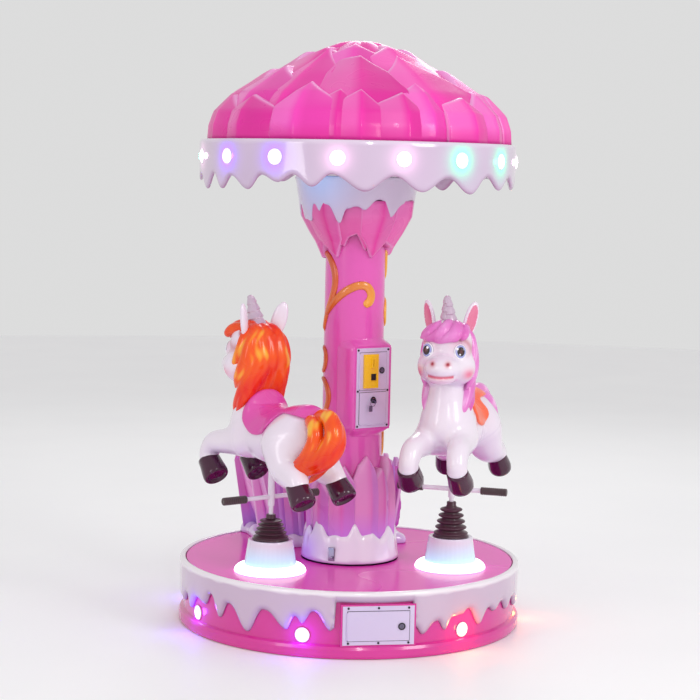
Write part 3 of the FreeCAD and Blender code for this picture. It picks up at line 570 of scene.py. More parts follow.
class Clay:
    """A solid on a grid of signed distances, built up by adding and cutting shapes."""

    def __init__(self, low, high, cell):
        self.low, self.cell = np.array(low, float), cell
        self.shape = tuple(int(n) for n in np.ceil((np.array(high) - self.low) / cell) + 1)
        self.field = np.full(self.shape, 60.0, np.float32)

    def window(self, shape, margin):
        low = np.floor((shape[0] - margin - self.low) / self.cell).astype(int)
        high = np.ceil((shape[1] + margin - self.low) / self.cell).astype(int) + 1
        part = tuple(slice(max(a, 0), min(b, n)) for a, b, n in zip(low, high, self.shape))
        axes = [self.low[i] + self.cell * np.arange(s.start, s.stop) for i, s in enumerate(part)]
        return part, np.meshgrid(*[a.astype(np.float32) for a in axes], indexing="ij")

    def add(self, shape, blend, sign=1):
        """Joins a shape on, with a fillet as wide as blend."""
        part, at = self.window(shape, blend + 3 * self.cell)
        distance = shape[2](*at).astype(np.float32)
        self.field[part] = sign * lesser(sign * self.field[part], distance, blend)

    def cut(self, shape, blend):
        """Cuts a shape away, with its edge rounded over blend."""
        self.add(shape, blend, -1)

    def mesh(self):
        """Points and quads of the zero surface, by surface nets."""
        f = self.field
        inside = f < 0
        corners = [(i, j, k) for i in (0, 1) for j in (0, 1) for k in (0, 1)]
        count = sum(inside[i:i - 1 or None, j:j - 1 or None, k:k - 1 or None].astype(np.int8)
                    for i, j, k in corners)
        cells = np.argwhere((count > 0) & (count < 8))
        index = np.full(count.shape, -1, np.int32)
        index[tuple(cells.T)] = np.arange(len(cells))
        value = {c: f[tuple((cells + c).T)] for c in corners}
        total, hits = np.zeros((len(cells), 3)), np.zeros(len(cells))
        for a in corners:
            for axis in range(3):
                if a[axis]:
                    continue
                b = tuple(1 if n == axis else a[n] for n in range(3))
                va, vb = value[a], value[b]
                crossed = (va < 0) != (vb < 0)
                t = np.where(crossed, va / np.where(crossed, va - vb, 1), 0)
                point = np.array(a, float)[None, :].repeat(len(cells), 0)
                point[:, axis] += t
                total[crossed] += point[crossed]
                hits += crossed
        points = self.low + self.cell * (cells + total / hits[:, None])
        quads = []
        for axis in range(3):
            u, v = [n for n in range(3) if n != axis]
            first = tuple(slice(None, -1) if n == axis else slice(None) for n in range(3))
            second = tuple(slice(1, None) if n == axis else slice(None) for n in range(3))
            edges = np.argwhere(inside[first] != inside[second])
            edges = edges[(edges[:, u] > 0) & (edges[:, v] > 0)]
            edges = edges[(edges[:, u] < self.shape[u] - 1) & (edges[:, v] < self.shape[v] - 1)]
            ring = []
            for du, dv in ((-1, -1), (0, -1), (0, 0), (-1, 0)):
                cell = edges.copy()
                cell[:, u] += du
                cell[:, v] += dv
                ring.append(index[tuple(cell.T)])
            quad = np.stack(ring, -1)
            flip = inside[tuple(edges.T)] != (axis == 1)
            quad[~flip] = quad[~flip][:, ::-1]
            quads.append(quad)
        return points, np.vstack(quads)


# ---- lamp places ----
BASE_LAMPS = [(-150.5, "violet"), (-104.6, "violet"), (-49.8, "amber"), (2, "amber"), (54, "mint"),
              (106, "blush"), (158, "violet")]
CANOPY_TINTS = ["blush", "blush", "mint", "mint", "blush", "violet", "violet", "blush", "mint", "blush",
                "violet", "violet", "mint", "blush", "violet", "violet"]
CANOPY_LAMPS = [(-96.7 + 22.5 * i, tint) for i, tint in enumerate(CANOPY_TINTS)]
LAMP_PLACES = [(a, SKIRT_R, BASE_LAMP_Z, tint) for a, tint in BASE_LAMPS]
LAMP_PLACES += [(a, VALANCE_R, CANOPY_LAMP_Z, tint) for a, tint in CANOPY_LAMPS]


def on_wall(azimuth, radius, z):
    """Point at an azimuth, radius and height."""
    a = math.radians(azimuth)
    return np.array([radius * math.cos(a), radius * math.sin(a), z])


# ---- camera, light and floor ----
def add_camera():
    """Camera in front of the machine, a little above the heads of the unicorns."""
    place = Vector((0, -7.086, 1.710))
    pitch, yaw, roll = -0.0956, -0.0019, 0.0208
    ahead = Vector((math.sin(yaw) * math.cos(pitch), math.cos(yaw) * math.cos(pitch), math.sin(pitch)))
    level = ahead.cross(Vector((0, 0, 1))).normalized()
    upright = level.cross(ahead)
    right = level * math.cos(roll) + upright * math.sin(roll)
    up = upright * math.cos(roll) - level * math.sin(roll)
    lens = bpy.data.cameras.new("camera")
    lens.sensor_width, lens.lens = 36, 96.35
    camera = bpy.data.objects.new("camera", lens)
    camera.matrix_world = Matrix.Translation(place) @ Matrix((right, up, -ahead)).transposed().to_4x4()
    bpy.context.scene.collection.objects.link(camera)
    bpy.context.scene.camera = camera


def add_light(name, place, target, size, power):
    """White area light, in metres and watts, aimed at a target."""
    data = bpy.data.lights.new(name, "AREA")
    data.shape, data.size, data.size_y = "RECTANGLE", size[0], size[1]
    data.energy = power
    lamp = bpy.data.objects.new(name, data)
    lamp.location = place
    lamp.rotation_mode = "QUATERNION"
    lamp.rotation_quaternion = (Vector(target) - Vector(place)).to_track_quat("-Z", "Y")
    bpy.context.scene.collection.objects.link(lamp)


def add_studio():
    """Even white surroundings, four area lights, the glow of each lamp and the floor."""
    world = bpy.data.worlds.new("studio")
    world.use_nodes = True
    world.node_tree.nodes["Background"].inputs[0].default_value = (1, 1, 1, 1)
    world.node_tree.nodes["Background"].inputs[1].default_value = 0.72
    bpy.context.scene.world = world
    bpy.context.scene.view_settings.view_transform = "Standard"
    add_light("key", (4.2, -4.0, 3.6), (0, 0, 1.1), (1.6, 2.4), 95)
    add_light("fill", (-4.2, -4.4, 2.6), (0, 0, 1.0), (1.2, 2.6), 34)
    add_light("strip", (0.9, -6.0, 4.6), (0, 0, 1.0), (0.35, 2.2), 38)
    add_light("back", (0.5, 4.6, 4.0), (0, 0, 1.2), (2.0, 2.0), 38)
    for azimuth, radius, z, tint in LAMP_PLACES:
        data = bpy.data.lights.new("led", "POINT")
        data.energy = 0.07 if tint == "blush" else 0.26
        data.color, data.shadow_soft_size = ink(HALO_TINTS[tint]) ** 1.5, 0.012
        led = bpy.data.objects.new("led", data)
        led.location = on_wall(azimuth, radius + 26, z) * MM
        led.visible_camera = False
        bpy.context.scene.collection.objects.link(led)
    floor = Shader("studio_floor")
    floor.set(Base_Color=floor.mix(floor.noise(1.5), ink("#f7f6f8"), ink("#fdfcfd")), Roughness=0.55)
    ring = [(FLOOR_M * math.cos(a), FLOOR_M * math.sin(a), 0) for a in np.arange(48) * math.pi / 24]
    mesh = bpy.data.meshes.new("floor")
    mesh.from_pydata(ring, [], [list(range(len(ring)))])
    mesh.materials.append(floor.material)
    sheet = bpy.data.objects.new("floor", mesh)
    bpy.context.scene.collection.objects.link(sheet)


# ---- base ----
def base_icing():
    """Icing rim with drips over the skirt, cut away above the access door."""
    drips = [(-164, 92), (-159.5, 128), (-156, 84), (-150.5, 134), (-145, 122), (-141.5, 166), (-136.6, 92),
             (-132.5, 150), (-124.3, 64), (-118, 152), (-110, 92), (-107, 142), (-104.8, 119), (-101, 164),
             (-95.4, 98), (-94.2, 108), (-93.7, 201), (-69, 201), (-68.4, 110), (-65.4, 80), (-60, 122),
             (-57.2, 87), (-53.8, 130), (-50, 134), (-47.4, 150), (-42, 84), (-37, 134), (-33.5, 116),
             (-28, 140), (-24.2, 104), (-18, 136), (-13, 90)]
    azimuth = -4.0
    while azimuth < 190:
        drips.append((azimuth, 148 + 12 * math.sin(azimuth)))
        azimuth += random.uniform(4.2, 5.8)
        if azimuth < 188:
            near_lamp = min(abs(azimuth - a) for a, _ in BASE_LAMPS) < 5
            drips.append((azimuth, random.uniform(112, 122) if near_lamp else random.uniform(66, 108)))
        azimuth += random.uniform(4.2, 5.8)
    crown = [(RIM_R + 0.4, 229), (RIM_R + 0.4, 237), (RIM_R + 3, 240.3), (634, 241), (642, 239.4), (647, 235)]
    made = skin("icing_rim", wavy(drips), lambda z: SKIRT_R + 0.4 + 0 * z, 230, crown, 15.5, 1.0, 24, 1440)
    # painted lamp light round the base lamps, painted shade towards the lower edges and a painted highlight
    # along the top
    lit = [(on_wall(a, SKIRT_R + 8, BASE_LAMP_Z), tint) for a, tint in BASE_LAMPS]
    halo(made, lit, 58, ink("#e0ccdd"), ink("#a882ac"), top=224)
    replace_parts(made, "base_icing")


def lamps():
    """Bezels and domed lenses of the base and canopy lamps."""
    places = [(a, SKIRT_R + 0.8, BASE_LAMP_Z, BASE_LAMP_R, tint) for a, tint in BASE_LAMPS]
    places += [(a, VALANCE_R + 5, CANOPY_LAMP_Z, CANOPY_LAMP_R, tint) for a, tint in CANOPY_LAMPS]
    bezels, lenses = [], {}
    for azimuth, face, z, r, tint in places:
        rim = [(r - 3, 0), (r + 1, 0), (r + 1.5, 2), (r, 4), (r - 2, 4.6), (r - 3, 3)]
        dome = [(r - 3.2, 0.4)] + [((r - 3.2) * math.cos(t), 1 + 9 * math.sin(t))
                                   for t in np.linspace(0, math.pi / 2 - 0.02, 9)] + [(0.02, 0.4)]
        for outline, group in ((rim, bezels), (dome, lenses.setdefault(tint, []))):
            points, faces = lathe(outline, 48, axis=(1, 0, 0))
            group.append((turned(points, azimuth, face, z), faces))
    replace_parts(shell("lamp_bezels", *joined(bezels), WHITE, "icing_white", "base"), "led_lamps")
    for tint, shapes in lenses.items():
        shell("lenses_" + tint, *joined(shapes), LENSES[tint], "lamp_glow", "base")


# ---- column ----
def column_r(z):
    """Radius of the tapered column."""
    return 116 - (np.asarray(z, float) - 238) / 400


def vine(stations, tone):
    """Raised curl on the column through (azimuth, height, half width) stations."""
    line = smooth_line(stations, 12)
    az, z, width = line.T
    flat = np.stack([np.radians(az) * column_r(z), z], -1)
    along = np.gradient(flat, axis=0)
    along /= np.linalg.norm(along, axis=1)[:, None]
    across = np.stack([-along[:, 1], along[:, 0]], -1)
    share = np.linspace(0, 1, len(line))
    ends = np.sqrt(np.clip(np.minimum(share * 22, (1 - share) * 22), 0.02, 1))
    width = width * ends
    u = np.linspace(-1, 1, 13)
    rise = np.sqrt(1 - u ** 2) ** 0.9
    section = []
    for k in range(len(line)):
        spot = flat[k] + across[k] * (u * width[k])[:, None]
        top = column_r(spot[:, 1]) + 9 * rise * min(1, width[k] / 9) * ends[k] - 0.6
        under = column_r(spot[1:-1, 1])[::-1] - 2.5
        r = np.concatenate([top, under])
        s = np.concatenate([spot, spot[1:-1][::-1]])
        a = s[:, 0] / column_r(s[:, 1])
        section.append(np.stack([r * np.cos(a), r * np.sin(a), s[:, 1]], -1))
    ring = len(section[0])
    faces = loop_faces(len(section), ring, closed=False).tolist()
    faces += [list(range(ring))[::-1], list(range(ring * (len(section) - 1), ring * len(section)))]
    shade = np.repeat(mixed(ink(tone[0]), ink(tone[1]), share), ring, axis=0)
    return np.vstack(section), faces, shade


def vines():
    """Orange scrolls up the left, over the front and round the back of the column."""
    # painted shade and light: deep tones for the scrolls on the column's shaded left, gold towards its lit
    # right; along each scroll the tone runs from its first colour to its second, partly its own paint and
    # partly painted light
    warm, gold, deep = ("#d8501c", "#ffb23c"), ("#f59a34", "#ffd23c"), ("#c8421a", "#f07a2a")
    runs = [
        ([(-178, 1392, 4), (-163, 1398, 12), (-146, 1378, 15), (-133, 1334, 16), (-131, 1284, 15),
          (-138, 1236, 14), (-150, 1190, 13), (-161, 1140, 11), (-168, 1100, 6)], deep),
        ([(-162, 1150, 8), (-147, 1188, 13), (-127, 1228, 15), (-106, 1262, 16), (-84, 1282, 16),
          (-66, 1278, 17), (-57, 1250, 18), (-61, 1222, 18), (-73, 1210, 15)], warm),
        ([(-172, 1050, 4), (-158, 1030, 12), (-154, 1000, 14), (-160, 965, 12), (-172, 945, 5)], deep),
        ([(-178, 928, 4), (-158, 916, 13), (-144, 878, 15), (-144, 838, 14), (-154, 800, 12),
          (-168, 772, 5)], deep),
        ([(16, 1470, 4), (5, 1430, 10), (0, 1380, 12), (8, 1330, 11), (22, 1290, 4)], gold),
        ([(18, 1240, 4), (2, 1208, 12), (-4, 1176, 14), (4, 1140, 11), (20, 1118, 4)], gold),
        ([(44, 960, 4), (24, 880, 12), (10, 790, 13), (5, 700, 12), (10, 620, 6)], warm),
        ([(60, 640, 4), (70, 760, 13), (95, 880, 16), (120, 960, 17), (132, 1040, 16), (118, 1090, 16),
          (100, 1078, 15), (96, 1050, 12)], warm),
        ([(150, 700, 4), (138, 800, 12), (120, 880, 13), (108, 930, 10)], deep),
        ([(70, 1100, 4), (62, 1180, 13), (74, 1270, 16), (96, 1330, 16), (116, 1310, 16),
          (108, 1278, 13)], gold),
    ]
    curls = [vine(stations, tone) for stations, tone in runs]
    made = shell("column_vines", *joined([c[:2] for c in curls]), VINE, "vine_orange", "base")
    paint(made, np.vstack([c[2] for c in curls]))
    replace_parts(made, "vine_relief")


def foot_profile(z):
    """Radius that the foot crystals lie on."""
    return float(np.interp(z, (300, 420, 500, 580, 645), (152, 158, 156, 145, 124)))


def foot_crystals():
    """Tall crystals round the foot of the column, standing in the snow collar."""
    lines = [[(-156, 470), (-136, 546), (-114, 470)], [(-122, 520), (-101, 606), (-82, 540)],
             [(-87, 556), (-78, 606), (-62.6, 641), (-52, 600), (-45, 520)],
             [(-56, 540), (-38, 594), (-20, 520)], [(-29, 540), (-11, 630), (9, 530)]]
    lines += around(2, 202, 28, 530, 84, 0.35)
    made = [plate(foot_profile, 300, line, push=(0, 6, 2)[i % 3], crease=12, back=40, roll=11)
            for i, line in enumerate(lines)]
    plates("foot_crystal_leaves", made, ["#ee74c4", "#e969be", "#f286cf"], "#fcd2f2", "#d48cf0", (320, 440),
           "base", "crystal_pink", ["foot_crystals"])


def collar():
    """Snow collar with peaks, as tall in front as at the back, and its small latch plate."""
    peaks = [(-138, 402), (-119, 340), (-107, 350), (-94, 346), (-84, 392), (-73, 346), (-61, 356),
             (-47, 330), (-28, 372), (-10, 334), (8, 384), (26, 340), (46, 362), (63, 334), (84, 396),
             (104, 342), (124, 366), (142, 336), (160, 388), (182, 340), (200, 364), (211, 344)]
    made = skin("snow_collar", wavy(peaks, down=False, pinch=0.85), lambda z: 178 - (z - 240) * 0.13, 244,
                [(166, 240), (181, 240)], 10, 14, 26, 540, rows=16, flow=0.5)
    # painted violet light at one spot on the collar's left, and painted shade towards its lower edges
    halo(made, [(on_wall(-158, 190, 270), "violet")], 80, ink("#fcf6fd"), ink("#d9c6ee"))
    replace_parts(made, "foot_collar")
    latch_plate = [(0, -13, -26), (0, 13, -26), (0, 13, 26), (0, -13, 26), (3, -12, -25), (3, 12, -25),
                   (3, 12, 25), (3, -12, 25)]
    catch = [(3, -1, -18), (3, 9, -18), (3, 9, -7), (3, -1, -7), (8, 0, -17), (8, 8, -17), (8, 8, -8),
             (8, 0, -8)]
    hulls = [turned(corners, LATCH_AZ, 186.5, LATCH_Z) for corners in (latch_plate, catch)]
    # the white is the colour of the latch's painted highlights on its edges
    blocks("collar_latch", hulls, 0.8, ["#e6dcec", "#4a3c58"], "#ffffff", CHROME, "base")


def capital_profile(z):
    """Radius that the capital's crystals lie on."""
    return float(np.interp(z, (1316, 1390, 1441, 1478, 1541, 1620), (112, 117, 140, 164, 198, 206)))


def capital():
    """Hanging crystals and the dripping icing under the canopy."""
    lines = [[(-186, 1450), (-166, 1388), (-148, 1450)], [(-158, 1452), (-124, 1386), (-110, 1460)],
             [(-121, 1436), (-110, 1428), (-101, 1462), (-89, 1476), (-76, 1420), (-70, 1412)],
             [(-86, 1476), (-62, 1386), (-36, 1452)], [(-46, 1450), (-22, 1424), (-4, 1460)],
             [(-16, 1450), (4, 1392), (26, 1450)]]
    lines += around(20, 178, 30, 1450, -60, 0.2)
    made = [plate(capital_profile, 1600, line, push=(0, 5, -5, 5, 12, 2)[i % 6], crease=11, back=34, roll=10)
            for i, line in enumerate(lines)]
    plates("capital_crystal_leaves", made, ["#ee48aa", "#e63f9f", "#f05cb8"], "#f7b8ea", "#f08cd0",
           (1380, 1400), "base", "crystal_pink", ["capital_crystals"])
    knots = [(-144.5, 1520), (-137, 1584), (-129.5, 1546), (-121, 1582), (-107.5, 1516), (-98.4, 1570),
             (-90, 1578), (-82, 1566), (-67, 1604), (-52.5, 1540), (-37, 1584), (-20, 1600), (-8, 1528)]
    knots += round_back(4, 208, (1574, 1602), (1520, 1552), (8, 11))
    made = skin("capital_icing_drips", wavy(knots, pinch=1.4), lambda z: 203 + (z - 1518) * 0.16, 1682,
                [(216, 1686), (226, 1688), (229.5, 1686)], 4.5, 5, 12, 720, rows=26)
    # painted pale blue light at one spot on the front left, and painted shade towards the lower edges
    halo(made, [(on_wall(-128, 240, 1690), "sky")], 120, ink("#e6dcee"), ink("#c4a9cc"))
    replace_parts(made, "capital_icing")


# ---- canopy ----
def valance():
    """Dripping icing under the dome, with painted lamp light round its lamps and painted shade towards its
    lower edges.
    """
    knots = [(-151.5, 1690), (-145.6, 1636), (-139.8, 1682), (-131.2, 1636), (-125, 1688), (-118.4, 1664),
             (-112.4, 1691), (-105.6, 1651), (-98.8, 1695), (-87.2, 1638), (-77.2, 1692), (-67, 1639),
             (-57.2, 1689), (-46.6, 1633)]
    knots += round_back(-38, 200, (1682, 1696), (1632, 1664), (7, 9.5))
    crown = [(552, 1806), (551, 1811), (560, 1812), (575, 1813), (583, 1815.5), (589, 1814), (591.5, 1810)]
    made = skin("valance_icing", wavy(knots, pinch=1.0), lambda z: VALANCE_R + 0 * z - 1.5, 1806, crown, 9, 8,
                15, 1080, rows=22, flow=0.25)
    lit = [(on_wall(a, VALANCE_R + 4, CANOPY_LAMP_Z), tint) for a, tint in CANOPY_LAMPS]
    halo(made, lit, 44, ink("#e6d6ea"), ink("#ae86ac"))
    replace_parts(made, "canopy_valance")


def dome_r(z):
    """Radius of the canopy's rounded outline at a height."""
    heights = [1815, 1868, 1920, 1952, 1988, 2022, 2062, 2110, 2155, 2184, 2196]
    radii = [553, 549, 531, 500, 463, 400, 330, 236, 155, 80, 8]
    return float(np.interp(z, heights, radii))


def dome():
    """Canopy of crystal plates in three rings, each rising behind the gables of the one below."""
    core = [(dome_r(z) - 34, z - 16) for z in (1831, 1868, 1920, 1952, 1988, 2022, 2062, 2110)]
    foot = DOME_FOOT + 1
    core = [(core[0][0], foot)] + core + [(130, 2140), (60, 2168), (0.5, 2176), (0.5, foot)]
    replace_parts(shell("dome_core", *lathe(core, 48), PINK, "hot_pink_gloss", "base"), "canopy_dome")
    rim = [[(-170, 1925), (-160, 1978), (-147, 1925)], [(-149, 1915), (-139, 1974), (-123, 1925)],
           [(-125, 1930), (-113.5, 2022), (-98, 1953)], [(-108, 1950), (-98, 1996), (-90, 1950)],
           [(-97.5, 1955), (-89, 1996), (-81, 1934)], [(-83, 1945), (-71.6, 1986), (-65.5, 1932)],
           [(-76, 1965), (-61, 2028), (-54.5, 1947)], [(-55, 1948), (-42, 1976), (-32.5, 1915)],
           [(-38, 1935), (-25, 2004), (-11, 1920)]]
    rim_push = [-4, 3, 4, -8, 4, 3, -6, 4, -4]
    rim += around(-13, 192, 20, 1936, 66, 0.35)
    rim_push += [(4, -5)[i % 2] for i in range(len(rim) - len(rim_push))]
    middle = [[(-184, 2010), (-168, 2080), (-150, 2020)], [(-160, 2005), (-145, 2086), (-124, 2030)],
              [(-134, 2045), (-124, 2158), (-104, 2080)],
              [(-110, 2046), (-106, 2112), (-89, 2124), (-73, 2066), (-67, 1990)],
              [(-76, 2050), (-56, 2130), (-32, 2044), (-24, 1985)], [(-32, 2010), (-14, 2085), (8, 2000)]]
    middle += around(2, 180, 30, 2020, 84, 0.4)
    top = [[(-168, 2100), (-132, 2160), (-100, 2120)], [(-130, 2110), (-96, 2174), (-64, 2120)],
           [(-84, 2120), (-54, 2170), (-20, 2110)], [(-30, 2100), (0, 2164), (36, 2100)],
           [(20, 2110), (60, 2172), (100, 2110)], [(84, 2110), (130, 2166), (176, 2100)],
           [(150, 2100), (176, 2150), (206, 2100)]]
    tones = ["#ff38b6", "#f830ae", "#ff48c2", "#f02aa6"]
    bud = [(dome_r(z) - 3, z) for z in (2110, 2132, 2150, 2165, 2176, 2184, 2190)]
    bud += [(0.5, 2191.5), (0.5, 2110)]
    points, faces = lathe(bud, 140)
    ridge = np.abs(np.cos(3.5 * np.arctan2(points[:, 1], points[:, 0]) + 0.6))
    points[:, 2] -= 26 * (1 - ridge) * np.clip(np.hypot(points[:, 0], points[:, 1]) / 200, 0, 1)
    made = shell("dome_crown", points, faces, DOME_PINK, "hot_pink_gloss", "base")
    # painted highlight along the crown's ridges
    paint(made, mixed(ink(tones[1]), ink("#ffb8f0"), 0.5 * ridge ** 12))
    for name, lines, level, push, crease, lift in (
            ("rim", rim, DOME_FOOT + 0.5, rim_push, 20, 0),
            ("middle", middle, 1900, [4, 10, 12, 14, 8, 6], 34, 50),
            ("top", top, 2030, [8, 14, 20, 6, 12, 0], 30, 40)):
        made = [plate(dome_r, level, line, push=push[i % len(push)], crease=crease, lift=lift)
                for i, line in enumerate(lines)]
        plates("dome_plates_" + name, made, tones, "#ffb8f0", "#e82c9e", (level, level + 60), "base",
               "hot_pink_gloss")


# ---- turntable fittings ----
def boot_place(side):
    """Axis (x, y), foot and top of a boot, from its CAD node."""
    low, high = span("bellows_" + side)
    return (low[:2] + high[:2]) / 2, low[2], high[2]


def bellows():
    """Rubber boots: wide round folds that narrow to a square-shouldered neck."""
    folds = 5
    for side in SIDES:
        (cx, cy), foot, top = boot_place(side)
        pitch = (top - 16 - foot) / (folds + 0.2)
        outline = [(60, foot + 0.3), (67, foot + 0.3), (67.5, foot + 3)]
        for i in range(folds):
            crest, groove = 64.5 - 5.6 * i, 42 - 6.0 * i
            z = foot + 4 + i * pitch
            for t in np.linspace(-0.5, 0.5, 7):
                outline.append((crest - 4 * (2 * t) ** 2, z + pitch * (0.4 + 0.42 * t)))
            outline.append((groove, z + pitch * 0.9))
        outline += [(20, top - 17), (17.5, top - 14), (17.5, top - 1.5), (16, top - 0.2), (9.2, top - 0.2)]
        outline += [(9.2, top - 14), (14, top - 22), (40, foot + 30), (56, foot + 6)]
        made = shell("boot_" + side, *lathe(outline, 72, (cx, cy, 0)), RUBBER, "rubber_brown")
        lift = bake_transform(made)
        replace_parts(lift, "bellows_" + side)


def lift_covers():
    """Tapered covers of the lifts, with painted light and a painted glow from the light ring at their foot.
    """
    for side in SIDES:
        (cx, cy), _, _ = boot_place(side)
        outline = [(57, 350), (57, 353.4), (78, 354.4), (81, 353.8), (82.2, 352), (82.8, 349), (84, 340),
                   (97, 258), (99, 246), (99.5, 237), (94, 236.8), (91, 258), (77, 346)]
        points, faces = lathe(outline, 96, (cx, cy, 0))
        ribs = np.arctan2(points[:, 1] - cy, points[:, 0] - cx)
        points[:, :2] += (points[:, :2] - (cx, cy)) * (0.004 * np.cos(ribs * 32))[:, None]
        made = shell("lift_cover_" + side, points, faces, ICING, "icing_white", "turntable")
        # painted light from the ring: pale blue at the foot of each cover, fading upwards, and a painted glow
        # in the glow layer
        rise = (points[:, 2] - 250) / 80
        paint(made, mixed(ink("#c4ecfa"), ink("#efe6f6"), np.clip(rise, 0, 1)))
        paint(made, mixed(ink("#7fd8ff"), ink("#000000"), np.clip(rise * 1.2, 0, 1)) * 0.45, "glow")
        ring = [(99.8, 237), (132, 237), (133, 239), (131.5, 245), (127, 252), (119, 258.5), (109, 263),
                (101, 265), (99.8, 264)]
        shell("light_ring_" + side, *lathe(ring, 96, (cx, cy, 0)), RING_LIGHT, "ring_glow", "turntable")
    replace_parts(bpy.data.objects["lift_cover_left"], "lift_housings")
    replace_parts(bpy.data.objects["light_ring_left"], "light_rings")


def coin_boss():
    """Soft fillet that runs the coin box's pink rim out into the round column."""
    n_along, n_out, out_u, out_z = 120, 14, 52, 30      # counts, and how far the fillet spreads
    half_u, low, high, corner, front = 79.0, 745.0, 1055.0, 8.0, 128.2
    bend = 113                                          # radius on which its width is laid round
    outline = []
    for cu, cz, start in ((half_u - corner, high - corner, 0), (corner - half_u, high - corner, 90),
                          (corner - half_u, low + corner, 180), (half_u - corner, low + corner, 270)):
        for t in np.linspace(0, 90, 7):
            a = math.radians(start + t)
            outline.append((cu + corner * math.cos(a), cz + corner * math.sin(a), math.cos(a), math.sin(a)))
    outline.append(outline[0])
    outline = np.array(outline)
    length = np.concatenate([[0], np.cumsum(np.linalg.norm(np.diff(outline[:, :2], axis=0), axis=1))])
    at = np.linspace(0, length[-1], n_along, endpoint=False)
    u, z, nu, nz = (np.interp(at, length, outline[:, i]) for i in range(4))
    rows = []
    for reach in np.linspace(0, 1, n_out):
        blend = reach * reach * (3 - 2 * reach)
        uu, zz = u + nu * out_u * reach, z + nz * out_z * reach
        angle, r = uu / bend, column_r(zz) + 0.3
        rows.append(np.stack([(1 - blend) * front + blend * r * np.cos(angle),
                              (1 - blend) * uu + blend * r * np.sin(angle), zz], -1))
    for reach in (1, 0):
        uu, zz = u + nu * (out_u * reach - 1), z + nz * (out_z * reach - 1)
        angle, r = uu / bend, column_r(zz)
        rows.append(np.stack([r * np.cos(angle) - 6, r * np.sin(angle) * 0.94, zz], -1))
    ring = np.stack(rows, 1).reshape(-1, 3)
    shell("coin_boss_fillet", turned(ring, COIN_AZ), loop_faces(n_along, len(rows)), COLUMN_PINK,
          "pink_gloss", "base")


def shadow_gap_strip(name, azimuth, distance, half, low, high, width, thick=0.5):
    """Flat dark rectangular ring round a door, facing an azimuth: painted shadow for the gap round the door.
    """
    points = [(d, side * (half + grow), low - grow if below else high + grow)
              for side, below in ((-1, True), (1, True), (1, False), (-1, False))
              for grow, d in ((0, 0), (0, thick), (width, thick), (width, 0))]
    shell(name, turned(points, azimuth, distance), loop_faces(4, 4), BLACK, "foot_rubber", "base",
          smooth=False)


def panel_trim():
    """Dark strips of painted shadow round the doors, and the collars of the cam locks."""
    # the dark strips stand for the shadow in the gaps round the doors
    shadow_gap_strip("access_shadow_strip", DOOR_AZ, DOOR_FACE - 4.5, 110.4, 65.6, 171.4, 1.6)
    shadow_gap_strip("coin_shadow_strip", COIN_AZ, COIN_FACE - 4.5, 60.4, 892.6, 1033.4, 1.3)
    shadow_gap_strip("cash_shadow_strip", COIN_AZ, COIN_FACE - 4.5, 60.4, 763.6, 883.4, 1.3)
    for azimuth, distance, u, z, r, body in ((DOOR_AZ, DOOR_FACE, 82.6, 117, 9.2, "access_door"),
                                             (COIN_AZ, COIN_FACE, 38, 965, 8.2, "coin_door"),
                                             (COIN_AZ, COIN_FACE, 1, 855, 8.2, "cash_door")):
        outline = [(r, 0.1), (r + 3.6, 0.1), (r + 4, 0.8), (r + 3.2, 1.8), (r + 1, 2), (r, 1.6)]
        points, faces = lathe(outline, 40, (0, u, z), (1, 0, 0))
        shell("lock_collar_" + body, turned(points, azimuth, distance), faces, BLACK, "lock_chrome", body)


def at_sleigh(points):
    """Points of the sleigh, built facing +X at the origin, in their place on the deck."""
    return turned(points, SLEIGH_AZ - 90) + on_wall(SLEIGH_AZ, SLEIGH_R, 0)


def slab(points, y0, y1, grow=0.0):
    """Rounded outline of (x, z) points, as a clay shape from y0 to y1."""
    outline = smooth_line(points + [points[0]], 4)[:, :2]

    def distance(x, y, z):
        px, pz = x[:, 0, :], z[:, 0, :]
        best = np.full(px.shape, 1e6, np.float32)
        inside = np.zeros(px.shape, bool)
        for (ax, az), (bx, bz) in zip(outline[:-1], outline[1:]):
            ex, ez = bx - ax, bz - az
            t = np.clip(((px - ax) * ex + (pz - az) * ez) / max(ex * ex + ez * ez, 1e-6), 0, 1)
            best = np.minimum(best, np.hypot(px - ax - t * ex, pz - az - t * ez))
            cross = (az > pz) != (bz > pz)
            inside ^= cross & (px < ax + (pz - az) * ex / (ez if abs(ez) > 1e-6 else 1e-6))
        side = np.where(inside, -best, best)[:, None, :] - grow
        return np.maximum(side, np.maximum(y0 - grow - y, y - y1 - grow))
    (x0, z0), (x1, z1) = np.min(points, 0), np.max(points, 0)
    return np.array([x0, y0, z0]) - grow, np.array([x1, y1, z1]) + grow, distance


